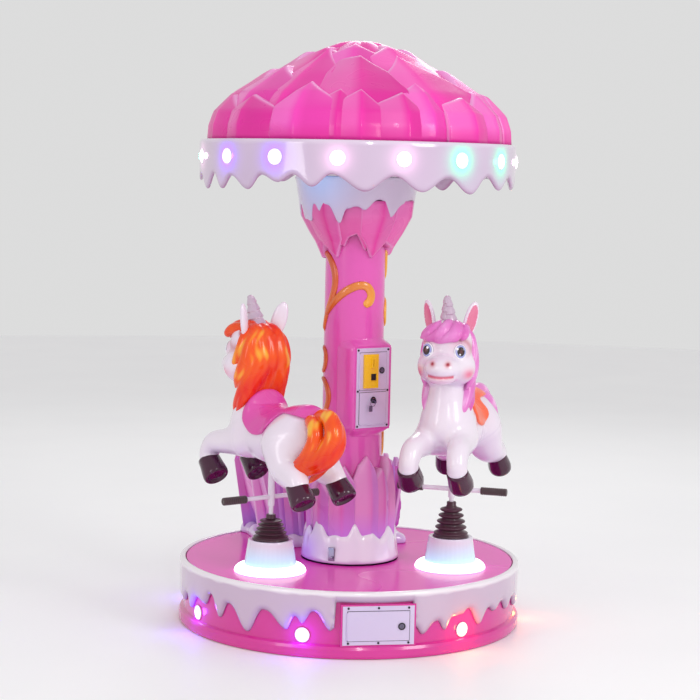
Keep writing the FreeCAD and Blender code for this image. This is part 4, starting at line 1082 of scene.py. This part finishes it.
def sleigh():
    """Tub with crystal-edged walls, bench and snow at its foot."""
    grid = Clay((-350, -200, 250), (300, 180, 660), 4.5)
    hull = [(-206, 268), (222, 268), (258, 500), (240, 528), (208, 440), (-110, 430), (-190, 460),
            (-296, 622), (-318, 606), (-252, 380)]
    room = [(-4, 284), (216, 284), (240, 660), (-310, 700), (-168, 406), (-10, 404)]
    grid.add(slab(hull, -160, 138, 9), 1)
    grid.cut(slab(room, -146, 124), 14)
    points, quads = grid.mesh()
    made = piece("sleigh_body", at_sleigh(points), quads, TUB, "sleigh_magenta", "turntable")
    rise = (spots(made)[:, 2] - 270) / 360
    paint(made, mixed(ink("#c428bc"), ink("#e46cd8"), rise))
    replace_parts(made, "sleigh_tub")
    walls, foot = [], 262
    tops = [(-316, 600), (-280, 640), (-240, 585), (-196, 520), (-150, 478), (-100, 500), (-52, 466),
            (0, 506), (50, 470), (100, 512), (150, 478), (196, 530), (240, 560)]
    for out, y in ((-1, -163), (1, 141)):
        for i, (x, top) in enumerate(tops):
            top += 14 * math.sin(2.3 * i + y)
            edge = [(x - 31, top - 70), (x + 5 * math.sin(i), top), (x + 31, top - 76)]
            leaf = plate(lambda z: 0.0, foot, edge, push=(0, 5)[i % 2], back=14, across=22, rows=16,
                         wall=((0, y), (1, 0), (0, out)))
            lean = np.interp(x, (-316, 0, 240), (-52, 0, 26))
            leaf[0][:, 0] += (leaf[0][:, 2] - foot) / 340 * lean + np.interp(x, (-316, 0, 240), (48, 0, -22))
            walls.append(leaf)
    for heights, reach, tip, out in (((foot, 380, 640), (228, 272, 338), 646, -1),
                                     ((foot, 500), (238, 276), 556, 1)):
        for i in range(5):
            y, top = -152 + i * 70, tip + 12 * math.sin(2.2 * i)
            edge = [(y - 40, top - 66), (y + 6, top), (y + 40, top - 74)]
            walls.append(plate(lambda z: float(np.interp(z, heights, reach)), foot, edge, push=(0, 5)[i % 2],
                               back=12, across=22, rows=16, wall=((0, 0), (0, 1), (out, 0))))
    walls = [(at_sleigh(leaf[0]),) + leaf[1:] for leaf in walls]
    plates("sleigh_crystals", walls, ["#ec84d4", "#e070c6", "#e898dc", "#d88ae4"], "#fbd6f8", "#cf9cf6",
           (foot, 400), "turntable", "sleigh_magenta")
    bottom, cell = 225, 4.0
    snow = Clay((-330, -250, bottom), (330, 230, 340), cell)
    for i in range(17):
        x = -270 + i * 34
        for y in (-176, 152):
            size = 26 + 9 * math.sin(2.7 * i + y)
            snow.add(ball((x, y + 6 * math.sin(i), 246), (size, size * 0.9, size * 1.15)), 26)
    for i in range(9):
        y = -160 + i * 38
        for x in (-262, 262):
            snow.add(ball((x, y, 246), (28, 27, 30 + 7 * math.sin(i * 2 + x))), 26)
    snow.field[:, :, :int((DECK_TOP + 0.6 - bottom) / cell) + 1] = 30
    points, quads = snow.mesh()
    made = piece("sleigh_snowbank", at_sleigh(points), quads, ICING, "icing_white", "turntable")
    paint(made, mixed(ink("#f4ecfa"), ink("#d9b6f4"), (290 - spots(made)[:, 2]) / 60))
    paint(made, (0, 0, 0), "glow")
    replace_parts(made, "sleigh_snow")


# ---- unicorns: built facing +X over their pole ----
HEAD_TURN = math.radians(4)
BODY_GRID = (-400, -160, 540), (350, 160, 1260), 3.5    # corners and cell of the body's clay


def ear_centre(s):
    return np.array([84, 77 * s, 1152])


def rider_frame(side):
    """Pole position, heading and rise of one unicorn, read from its CAD nodes."""
    low, high = span("pole_" + side)
    centre = np.array([(low[0] + high[0]) / 2, (low[1] + high[1]) / 2, 0])
    horn = np.array([v.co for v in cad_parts["horn_" + side].data.vertices]).mean(0) / MM
    heading = math.degrees(math.atan2(horn[1] - centre[1], horn[0] - centre[0]))
    centre[2] = span("horn_" + side)[1][2] - span("horn_left")[1][2]
    return centre, heading


def ride_place(points, side):
    """A unicorn's points in their place on its pole."""
    centre, heading = rider_frame(side)
    return turned(points, heading) + centre


def turn_head(points):
    """Turns what is in front of the neck a little to the animal's left."""
    p = np.array(points, float)
    share = np.clip((p[:, 2] - 900) / 60, 0, 1)
    p[:, 1] += (p[:, 0] - 100) * math.tan(HEAD_TURN) * share
    return p


def ear_axes(s):
    """Facing, width and length directions of an ear, as rows."""
    up = Vector((-0.16, 0.22 * s, 0.95)).normalized()
    out = Vector((0.75, 0.62 * s, 0)).normalized()
    face = (out - up * out.dot(up)).normalized()
    wide = up.cross(face)
    return np.array([face, wide, up])


def body_clay():
    """The unicorn's white body, without hooves."""
    clay = Clay(*BODY_GRID)
    clay.add(ball((-20, 0, 738), (190, 103, 100)), 1)
    clay.add(ball((-185, 0, 752), (120, 112, 110)), 40)
    clay.add(ball((105, 0, 765), (98, 98, 106)), 40)
    clay.add(strand((70, 0, 790, 92), (104, 0, 850, 74), (112, 0, 930, 60), (112, 0, 1030, 62)), 30)
    clay.add(ball((122, 0, 1066), (80, 92, 92)), 20)
    clay.add(ball((194, 0, 984), (82, 71, 50)), 26)
    clay.add(ball((214, 0, 950), (54, 52, 26)), 12)
    for s in (1, -1):
        clay.add(ball((138, 50 * s, 984), (64, 58, 64)), 26)
        clay.add(strand((95, 54 * s, 715, 64), (180, 72 * s, 700, 48), (254, 84 * s, 686, 41),
                        (284, 89 * s, 650, 37), (282, 91 * s, 620, 37), steps=14), 26)
        stretch = 20 if s > 0 else -16
        clay.add(strand((-165, 56 * s, 728, 88), (-212, 78 * s, 652, 62), (-262 - stretch, 92 * s, 622, 46),
                        (-284 - stretch, 97 * s, 604, 39), steps=14), 26)
        axes, middle = ear_axes(s), ear_centre(s)
        clay.add(ball(middle, (13, 28, 72), axes), 8)
        clay.cut(ball(middle + axes[0] * 15 + axes[2] * 2, (13, 20, 59), axes), 4)
        clay.cut(ball((272, 29 * s, 1004), (9, 6, 6)), 5)
        clay.add(ball((182, 56 * s, 1045), (16, 25, 29)), 14)
    clay.cut(strand((244, -48, 958, 4), (260, -28, 955, 4), (268, 0, 954, 4), (260, 28, 955, 4),
                    (244, 48, 958, 4)), 5)
    return clay


def smoothed(points, quads, rounds):
    """Points moved towards the mean of their neighbours, to take out the grid's steps."""
    edges = np.vstack([quads[:, [i, (i + 1) % 4]] for i in range(4)])
    count = np.bincount(edges.ravel(), minlength=len(points))[:, None]
    for step in range(rounds * 2):
        total = np.zeros_like(points)
        for axis in range(3):
            total[:, axis] = np.bincount(edges[:, 0], points[edges[:, 1], axis], len(points)) \
                + np.bincount(edges[:, 1], points[edges[:, 0], axis], len(points))
        points = points + (0.55 if step % 2 == 0 else -0.57) * (total / count - points)
    return points


def near(points, centre, reach):
    """Soft spot: 1 at its centre, fading over its reach."""
    return np.exp(-(np.linalg.norm((points - np.array(centre)) / np.array(reach), axis=1)) ** 2)


def body_paint(points, facing):
    """Airbrush on the white body: eye sockets, blush, nostrils, mouth and ears, and painted lilac shade on
    its undersides.
    """
    x, y, z = points.T
    # painted lilac shade on the faces that turn downwards, below the height 1100
    tone = mixed(ink("#f3e8f3"), ink("#cdb4e6"), np.clip(-facing[:, 2], 0, 1) * 0.55 * (z < 1100))
    mouth_z = 954 + 4 * (y / 48) ** 2
    for s in (1, -1):
        lid = np.hypot((y * s - 58) / 34, (z - 1046) / 44)
        band = np.exp(-((lid - 0.96) / 0.16) ** 2) * (x > 110) * (y * s > 20)
        band *= np.clip((z - 1022) / 30, 0, 1) * np.clip((y * s - 44) / 30 + 0.4, 0, 1)
        tone = coated(tone,
                      ("#ea9ab8", 0.75 * near(points, (180, 62 * s, 1062), (60, 36, 30))),
                      ("#fbf2fa", 0.9 * near(points, (190, 56 * s, 1046), (40, 27, 31))),
                      ("#d08a98", np.clip(band * 0.8, 0, 0.8)),
                      ("#f0608c", 0.85 * near(points, (176, 94 * s, 962), (44, 22, 20))),
                      ("#e04860", 0.9 * near(points, (274, 29 * s, 1004), (30, 11, 11))),
                      ("#a01028", 1.4 * near(points, (270, 29 * s, 1004), (24, 6, 6))))
        deep, wide, tall = ((points - ear_centre(s)) @ ear_axes(s).T).T
        in_ear = ((wide / 20) ** 2 + (tall / 59) ** 2 < 1) & (deep > 0) & (deep < 14)
        tone = mixed(tone, ink("#ec6f98"), in_ear * 0.9)
    line = np.exp(-((z - mouth_z) / 5.5) ** 2) * (x > 205)
    return coated(tone, ("#d8385a", np.clip(line * 1.1, 0, 0.95) * (np.abs(y) < 48)),
                  ("#f4b4cc", 0.5 * near(points, (236, 0, 942), (60, 60, 14))))


def mane_clay():
    """Mane in thick wavy locks over the crest and both sides of the neck, and the forelock."""
    clay = Clay((-80, -140, 740), (300, 140, 1200), 3.5)
    for y in (-30, 0, 30):
        clay.add(strand((110, y * 0.8, 1128, 22), (62, y * 1.2, 1104, 32), (36, y * 1.3, 1030, 36),
                        (46, y * 1.2, 960, 34), (66, y, 902, 24), (76, y * 0.8, 868, 8)), 5)
    for s in (1, -1):
        locks = [
            ((104, 30 * s, 1124, 20), (84, 66 * s, 1098, 23), (88, 84 * s, 1050, 22), (112, 90 * s, 1004, 15),
             (130, 90 * s, 972, 4)),
            ((76, 20 * s, 1116, 25), (58, 58 * s, 1080, 31), (60, 76 * s, 1010, 32), (92, 86 * s, 950, 22),
             (126, 80 * s, 908, 5)),
            ((50, 10 * s, 1090, 30), (38, 46 * s, 1020, 35), (56, 62 * s, 950, 34), (92, 72 * s, 888, 26),
             (130, 70 * s, 838, 17), (160, 54 * s, 788, 4)),
            ((34, 10 * s, 1020, 30), (38, 48 * s, 960, 32), (58, 64 * s, 904, 27), (84, 80 * s, 854, 18),
             (112, 84 * s, 812, 4)),
        ]
        for lock in locks:
            clay.add(strand(*lock), 4)
    fringe = [
        ((104, 52, 1126, 18), (150, 68, 1124, 20), (184, 72, 1104, 16), (192, 66, 1090, 5)),
        ((104, 26, 1134, 20), (160, 40, 1130, 23), (198, 32, 1104, 21), (202, -10, 1084, 13),
         (190, -40, 1078, 5)),
        ((104, 0, 1136, 20), (158, 6, 1134, 23), (194, -14, 1110, 21), (190, -52, 1090, 14),
         (172, -80, 1084, 5)),
        ((104, -26, 1134, 20), (150, -30, 1130, 21), (176, -54, 1110, 19), (170, -82, 1094, 10),
         (162, -94, 1086, 4)),
        ((100, -46, 1128, 17), (134, -62, 1118, 17), (146, -84, 1102, 11), (148, -94, 1088, 4)),
        ((130, 30, 1140, 13), (180, 52, 1124, 14), (202, 46, 1094, 12), (194, 20, 1080, 4)),
    ]
    for lock in fringe:
        clay.add(strand(*lock), 3)
    return clay


def tail_clay():
    """Tail that arches off the rump and sweeps down to the left, in four heavy locks."""
    clay = Clay((-460, -80, 560), (-160, 170, 900), 3.5)
    for lock in (
            ((-268, 6, 818, 22), (-318, 4, 846, 27), (-374, 10, 838, 31), (-406, 20, 784, 34),
             (-380, 40, 724, 34), (-322, 64, 682, 30), (-262, 84, 648, 22), (-212, 92, 620, 4)),
            ((-268, -8, 808, 20), (-330, -14, 830, 26), (-388, -8, 802, 28), (-408, 6, 748, 29),
             (-380, 30, 696, 27), (-322, 58, 658, 19), (-272, 78, 634, 4)),
            ((-262, 26, 812, 14), (-296, 38, 828, 23), (-336, 48, 802, 29), (-346, 60, 756, 29),
             (-316, 74, 710, 22), (-268, 90, 680, 4)),
            ((-366, -10, 760, 18), (-334, -14, 700, 21), (-290, -14, 652, 19), (-252, -8, 616, 12),
             (-232, -2, 596, 4))):
        clay.add(strand(*lock), 3)
    return clay


def saddle_clay(body):
    """Saddle shell that hugs the back, with round flaps, a raised pommel and a cantle."""
    clay = Clay(*BODY_GRID)
    x, y, z = np.meshgrid(*[clay.low[i] + clay.cell * np.arange(n) for i, n in enumerate(clay.shape)],
                          indexing="ij")
    flap = np.hypot((x + 34) / 92, (z - 836) / 84) * 88 - 88
    seat = np.hypot(np.maximum(np.abs(x + 150) - 110, 0), np.maximum(846 - z, 0) + np.abs(y) * 0.42) - 30
    region = np.maximum(lesser(seat, flap, 40), z - 950)
    cantle = 12 * np.exp(-((x + 236) / 40) ** 2 - (y / 80) ** 2)
    outer = body.field - (9 + cantle)
    clay.field = -lesser(-region, -outer, 8).astype(np.float32)
    clay.add(ball((38, 0, 822), (25, 90, 84)), 16)
    clay.field = np.maximum(clay.field, -(body.field + 2)).astype(np.float32)
    return clay


def hoof(top, foot, seed, scale=1.0):
    """Flared hoof with a rolled coronet and a dished sole."""
    top, foot = np.array(top, float), np.array(foot, float)
    length = np.linalg.norm(foot - top)
    outline = [(28, -4), (36, -4), (40, -1), (41, 4), (42.5, length * 0.3), (46, length * 0.6),
               (47.5, length * 0.82), (46, length - 5), (42.5, length - 0.5), (38.5, length),
               (35.5, length - 2), (33, length - 8), (22, length - 11), (10, length - 9),
               (0.3, length - 8), (0.3, 2)]
    points, faces = lathe(outline, 56, axis=(0, 0, 1))
    angle = np.arctan2(points[:, 1], points[:, 0])
    points[:, :2] *= scale * (1 + 0.035 * np.cos(2 * angle + seed))[:, None]
    heel = np.clip(points[:, 2] / length, 0, 1)
    points[:, 2] += 5 * np.cos(angle) * (heel < 0.3)
    turn = np.array(Vector((0, 0, 1)).rotation_difference(Vector(foot - top)).to_matrix())
    return points @ turn.T + top, faces


def horn_shape():
    """Tapering horn with a stepped spiral, bent a little forward."""
    steps, around = 90, 40
    rings = []
    for k in range(steps + 1):
        t = k / steps
        centre = np.array([112 + 34 * t + 10 * t * t, 0, 1128 + 116 * t])
        for j in range(around):
            a = 2 * math.pi * j / around
            groove = ((t * 4.2 + 0.35 * a / (2 * math.pi) * (1 if a <= math.pi else -1)) % 1.0)
            blunt = math.sqrt(max(1 - max(t - 0.9, 0) ** 2 * 100, 0.0))
            r = (39 - 27 * t) * blunt * (1 + 0.08 * math.cos(math.pi * groove) - 0.08) + 0.4
            side = np.array([0.94 * math.cos(a), math.sin(a), -0.34 * math.cos(a)])
            rings.append(centre + r * side)
    points = np.array(rings)
    faces = loop_faces(steps + 1, around, closed=False).tolist()
    faces += [list(range(around)), list(range(steps * around, (steps + 1) * around))[::-1]]
    return points, faces


def eye_patch(tree, s, rings=34, around=64):
    """Domed eye laid on the face: points, faces and its painted iris, pupil and highlights."""
    centre = Vector((184, 56 * s, 1045))
    look = Vector((0.86, 0.50 * s, 0.06)).normalized()
    side = Vector((0, 0, 1)).cross(look).normalized()
    up = look.cross(side)
    points, uv = [], []
    for i in range(rings + 1):
        rho = max(i / rings, 0.004)
        for j in range(around):
            a = 2 * math.pi * j / around
            u, v = EYE_WIDE * rho * math.cos(a), EYE_TALL * rho * math.sin(a)
            start = centre + side * u + up * v + look * 60
            hit = tree.ray_cast(start, -look)[0]
            spot = hit if hit else centre + side * u + up * v
            rise = 4.2 * (1 - rho ** 2) ** 0.6 + 0.5 - 2.2 * (rho > 0.985)
            points.append(spot + look * rise)
            uv.append((u * s * -1, v))
    grid = loop_faces(rings + 1, around, closed=False).tolist()
    grid.append(list(range(around))[::-1])
    back = [p - look * 7 for p in points[-around:]]
    start = len(points)
    edge = start - around
    grid += [[edge + j, edge + (j + 1) % around, start + (j + 1) % around, start + j] for j in range(around)]
    grid.append([start + j for j in range(around)])
    points += back
    uv += uv[-around:]
    wide, tall = np.array(uv).T
    across = np.array([p[1] - centre[1] for p in points])
    iris = np.hypot(wide / 18.5, tall / 23.5)
    pupil = np.hypot(wide / 13.6, tall / 17.8)
    rays = 0.5 + 0.5 * np.cos(np.arctan2(tall, wide) * 22)
    tone = mixed(ink("#fdfbff"), mixed(ink("#8f96dc"), ink("#cdd8fb"), rays * 0.8), (1 - iris) * 14)
    glints = [("#ffffff", (r - np.hypot(across - u, tall - v)) * 1.5)
              for u, v, r in ((-4.5, 10, 5.0), (6.0, -10.5, 3.4))]
    tone = coated(tone, ("#7f84c0", 0.8 * np.exp(-((iris - 0.97) / 0.05) ** 2)),
                  ("#190910", (1 - pupil) * 12), ("#7a4444", 0.8 * np.exp(-(pupil / 0.42) ** 2)), *glints)
    lash = np.clip((np.hypot(wide / EYE_WIDE, tall / EYE_TALL) - 0.955) * 40, 0, 0.8) * (tall > -6)
    tone = mixed(tone, ink("#5a3a52"), lash)
    return np.array([list(p) for p in points]), grid, tone


def hair_paint(points, side, warmth=0.0):
    """Airbrushed hair: red to amber on the left unicorn, pinks on the right one."""
    x, y, z = points.T
    y = y + 13 * np.sin(z * 0.045 + x * 0.02)
    patch = np.sin(z * 0.017 + y * 0.022 + 1.1) * np.sin(y * 0.031 - x * 0.024 + 0.4)
    patch += 0.3 * np.sin(z * 0.05 + x * 0.06)
    fine = np.sin(y * 0.19 + x * 0.14 + z * 0.03)
    share = np.clip(0.5 + warmth + 0.42 * patch + 0.07 * fine, 0, 1)
    if side == "left":
        tone = mixed(ink("#f01c02"), ink("#ff6a10"), share)
        return mixed(tone, ink("#ffc23c"), np.clip((share - 0.74) * 4, 0, 0.9))
    tone = mixed(ink("#e264bc"), ink("#f29ade"), share)
    return mixed(tone, ink("#fcd2f2"), np.clip((share - 0.78) * 3.4, 0, 0.8))


def unicorns():
    """Both unicorns: one mould in two colour schemes, each on its own body."""
    body = body_clay()
    points, quads = body.mesh()
    points = smoothed(points, quads, 10)
    tree = BVHTree.FromPolygons([Vector(p) for p in points], quads.tolist())
    saddle = saddle_clay(body).mesh()
    mane, tail = mane_clay().mesh(), tail_clay().mesh()
    eyes = [eye_patch(tree, s) for s in (1, -1)]
    feet = [hoof((286, 91 * s, 620), (224, 94 * s, 560), s) for s in (1, -1)]
    feet += [hoof((-296, 97, 606), (-354, 103, 542), 2, 0.95),
             hoof((-260, -97, 606), (-318, -103, 540), 1, 0.95)]
    feet = joined(feet)
    horn = horn_shape()
    for side, hair_slot, seat_slot, seat_finish in (
            ("left", "mane_orange", "saddle_pink", SADDLE_PINK),
            ("right", "mane_pink", "saddle_orange", SADDLE_ORANGE)):
        rides = "unicorn_" + side
        made = piece("unicorn_skin_" + side, ride_place(turn_head(points), side), quads, SKIN_WHITE,
                     "unicorn_white", rides)
        paint(made, body_paint(points, normals_of(points, quads)))
        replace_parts(made, "unicorn_body_" + side)
        made = piece("mane_" + side, ride_place(turn_head(mane[0]), side), mane[1], HAIR, hair_slot, rides)
        paint(made, hair_paint(mane[0], side, -0.06))
        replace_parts(made, "mane_tail_" + side)
        made = piece("tail_" + side, ride_place(tail[0], side), tail[1], HAIR, hair_slot, rides)
        paint(made, hair_paint(tail[0], side, 0.16))
        made = piece("saddle_shell_" + side, ride_place(saddle[0], side), saddle[1], seat_finish, seat_slot,
                     rides)
        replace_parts(made, "saddle_" + side)
        made = shell("hoof_set_" + side, ride_place(feet[0], side), feet[1], HOOF, "hoof_brown", rides)
        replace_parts(made, "hooves_" + side)
        made = shell("horn_spiral_" + side, ride_place(turn_head(horn[0]), side), horn[1], HORN,
                     "horn_silver", rides)
        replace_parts(made, "horn_" + side)
        for (p, f, tone), label in zip(eyes, SIDES):
            made = shell(f"eye_{label}_{side}", ride_place(turn_head(p), side), f, SKIN_WHITE,
                         "unicorn_white", rides)
            paint(made, tone)
        grips(side)


def normals_of(points, quads):
    """Unit normals at the points of a quad mesh."""
    a, b, c, d = (points[quads[:, i]] for i in range(4))
    face = np.cross(c - a, d - b)
    total = np.zeros_like(points)
    for i in range(4):
        np.add.at(total, quads[:, i], face)
    return total / np.maximum(np.linalg.norm(total, axis=1), 1e-9)[:, None]


def grips(side):
    """Ribbed rubber grips on the foot bar."""
    outline = [(8.7, 112), (13, 112), (14.5, 113.5)]
    for z in range(116, 204, 8):
        outline += [(13.2, z), (14.6, z + 1.6), (14.6, z + 4.6), (13.2, z + 6)]
    outline += [(14.5, 205), (14, 208.5), (11, 210.5), (0.3, 211), (0.3, 206), (8.7, 206)]
    points, faces = joined([lathe(outline, 40, (0, 0, 511), (0, s, 0)) for s in (1, -1)])
    made = shell("grip_pair_" + side, ride_place(points, side), faces, GRIP, "grip_rubber", "unicorn_" + side)
    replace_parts(made, "grips_" + side)


# ---- finishes on the CAD nodes that stay ----
def dress_nodes():
    """Gives each CAD node that stays its finish, and the thin panels rounded edges."""
    looks = {
        PINK: ["base_skirt"], COLUMN_PINK: ["column_shell"], DECK_PINK: ["deck"], WHITE: ["ceiling_panel"],
        STEEL: ["base_frame", "centre_mast", "canopy_frame", "deck_frame", "lift_frames"],
        BLACK: ["power_inlet", "return_flap", "turntable_motor", "lift_motors"],
        FEET: ["levelling_feet"], GREY: ["control_box", "slip_ring"], SCREW: ["panel_screws"],
        BRIGHT: ["ring_gear", "bearing_inner_ring", "drive_pinion", "cam_left", "cam_right"],
        PANEL: ["access_frame", "access_door", "coin_panel", "coin_door", "cash_door"],
        CHROME: ["access_lock", "coin_lock", "cash_lock"], YELLOW: ["coin_acceptor"],
        POLE: ["pole_left", "pole_right"],
    }
    edges = {"access_frame": 0.4, "access_door": 0.5, "coin_panel": 0.4, "coin_door": 0.5, "cash_door": 0.5,
             "coin_acceptor": 0.9, "access_lock": 0.4, "coin_lock": 0.4, "cash_lock": 0.4}
    for material, names in looks.items():
        for name in names:
            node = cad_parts[name]
            node.data.materials.clear()
            node.data.materials.append(material)
            if name in edges:
                rounding = node.modifiers.new("edges", "BEVEL")
                rounding.width, rounding.segments = edges[name] * MM, 2
                rounding.limit_method = "ANGLE"


add_camera()
add_studio()
dress_nodes()
base_icing()
lamps()
vines()
foot_crystals()
collar()
capital()
valance()
dome()
coin_boss()
panel_trim()
bellows()
lift_covers()
sleigh()
unicorns()
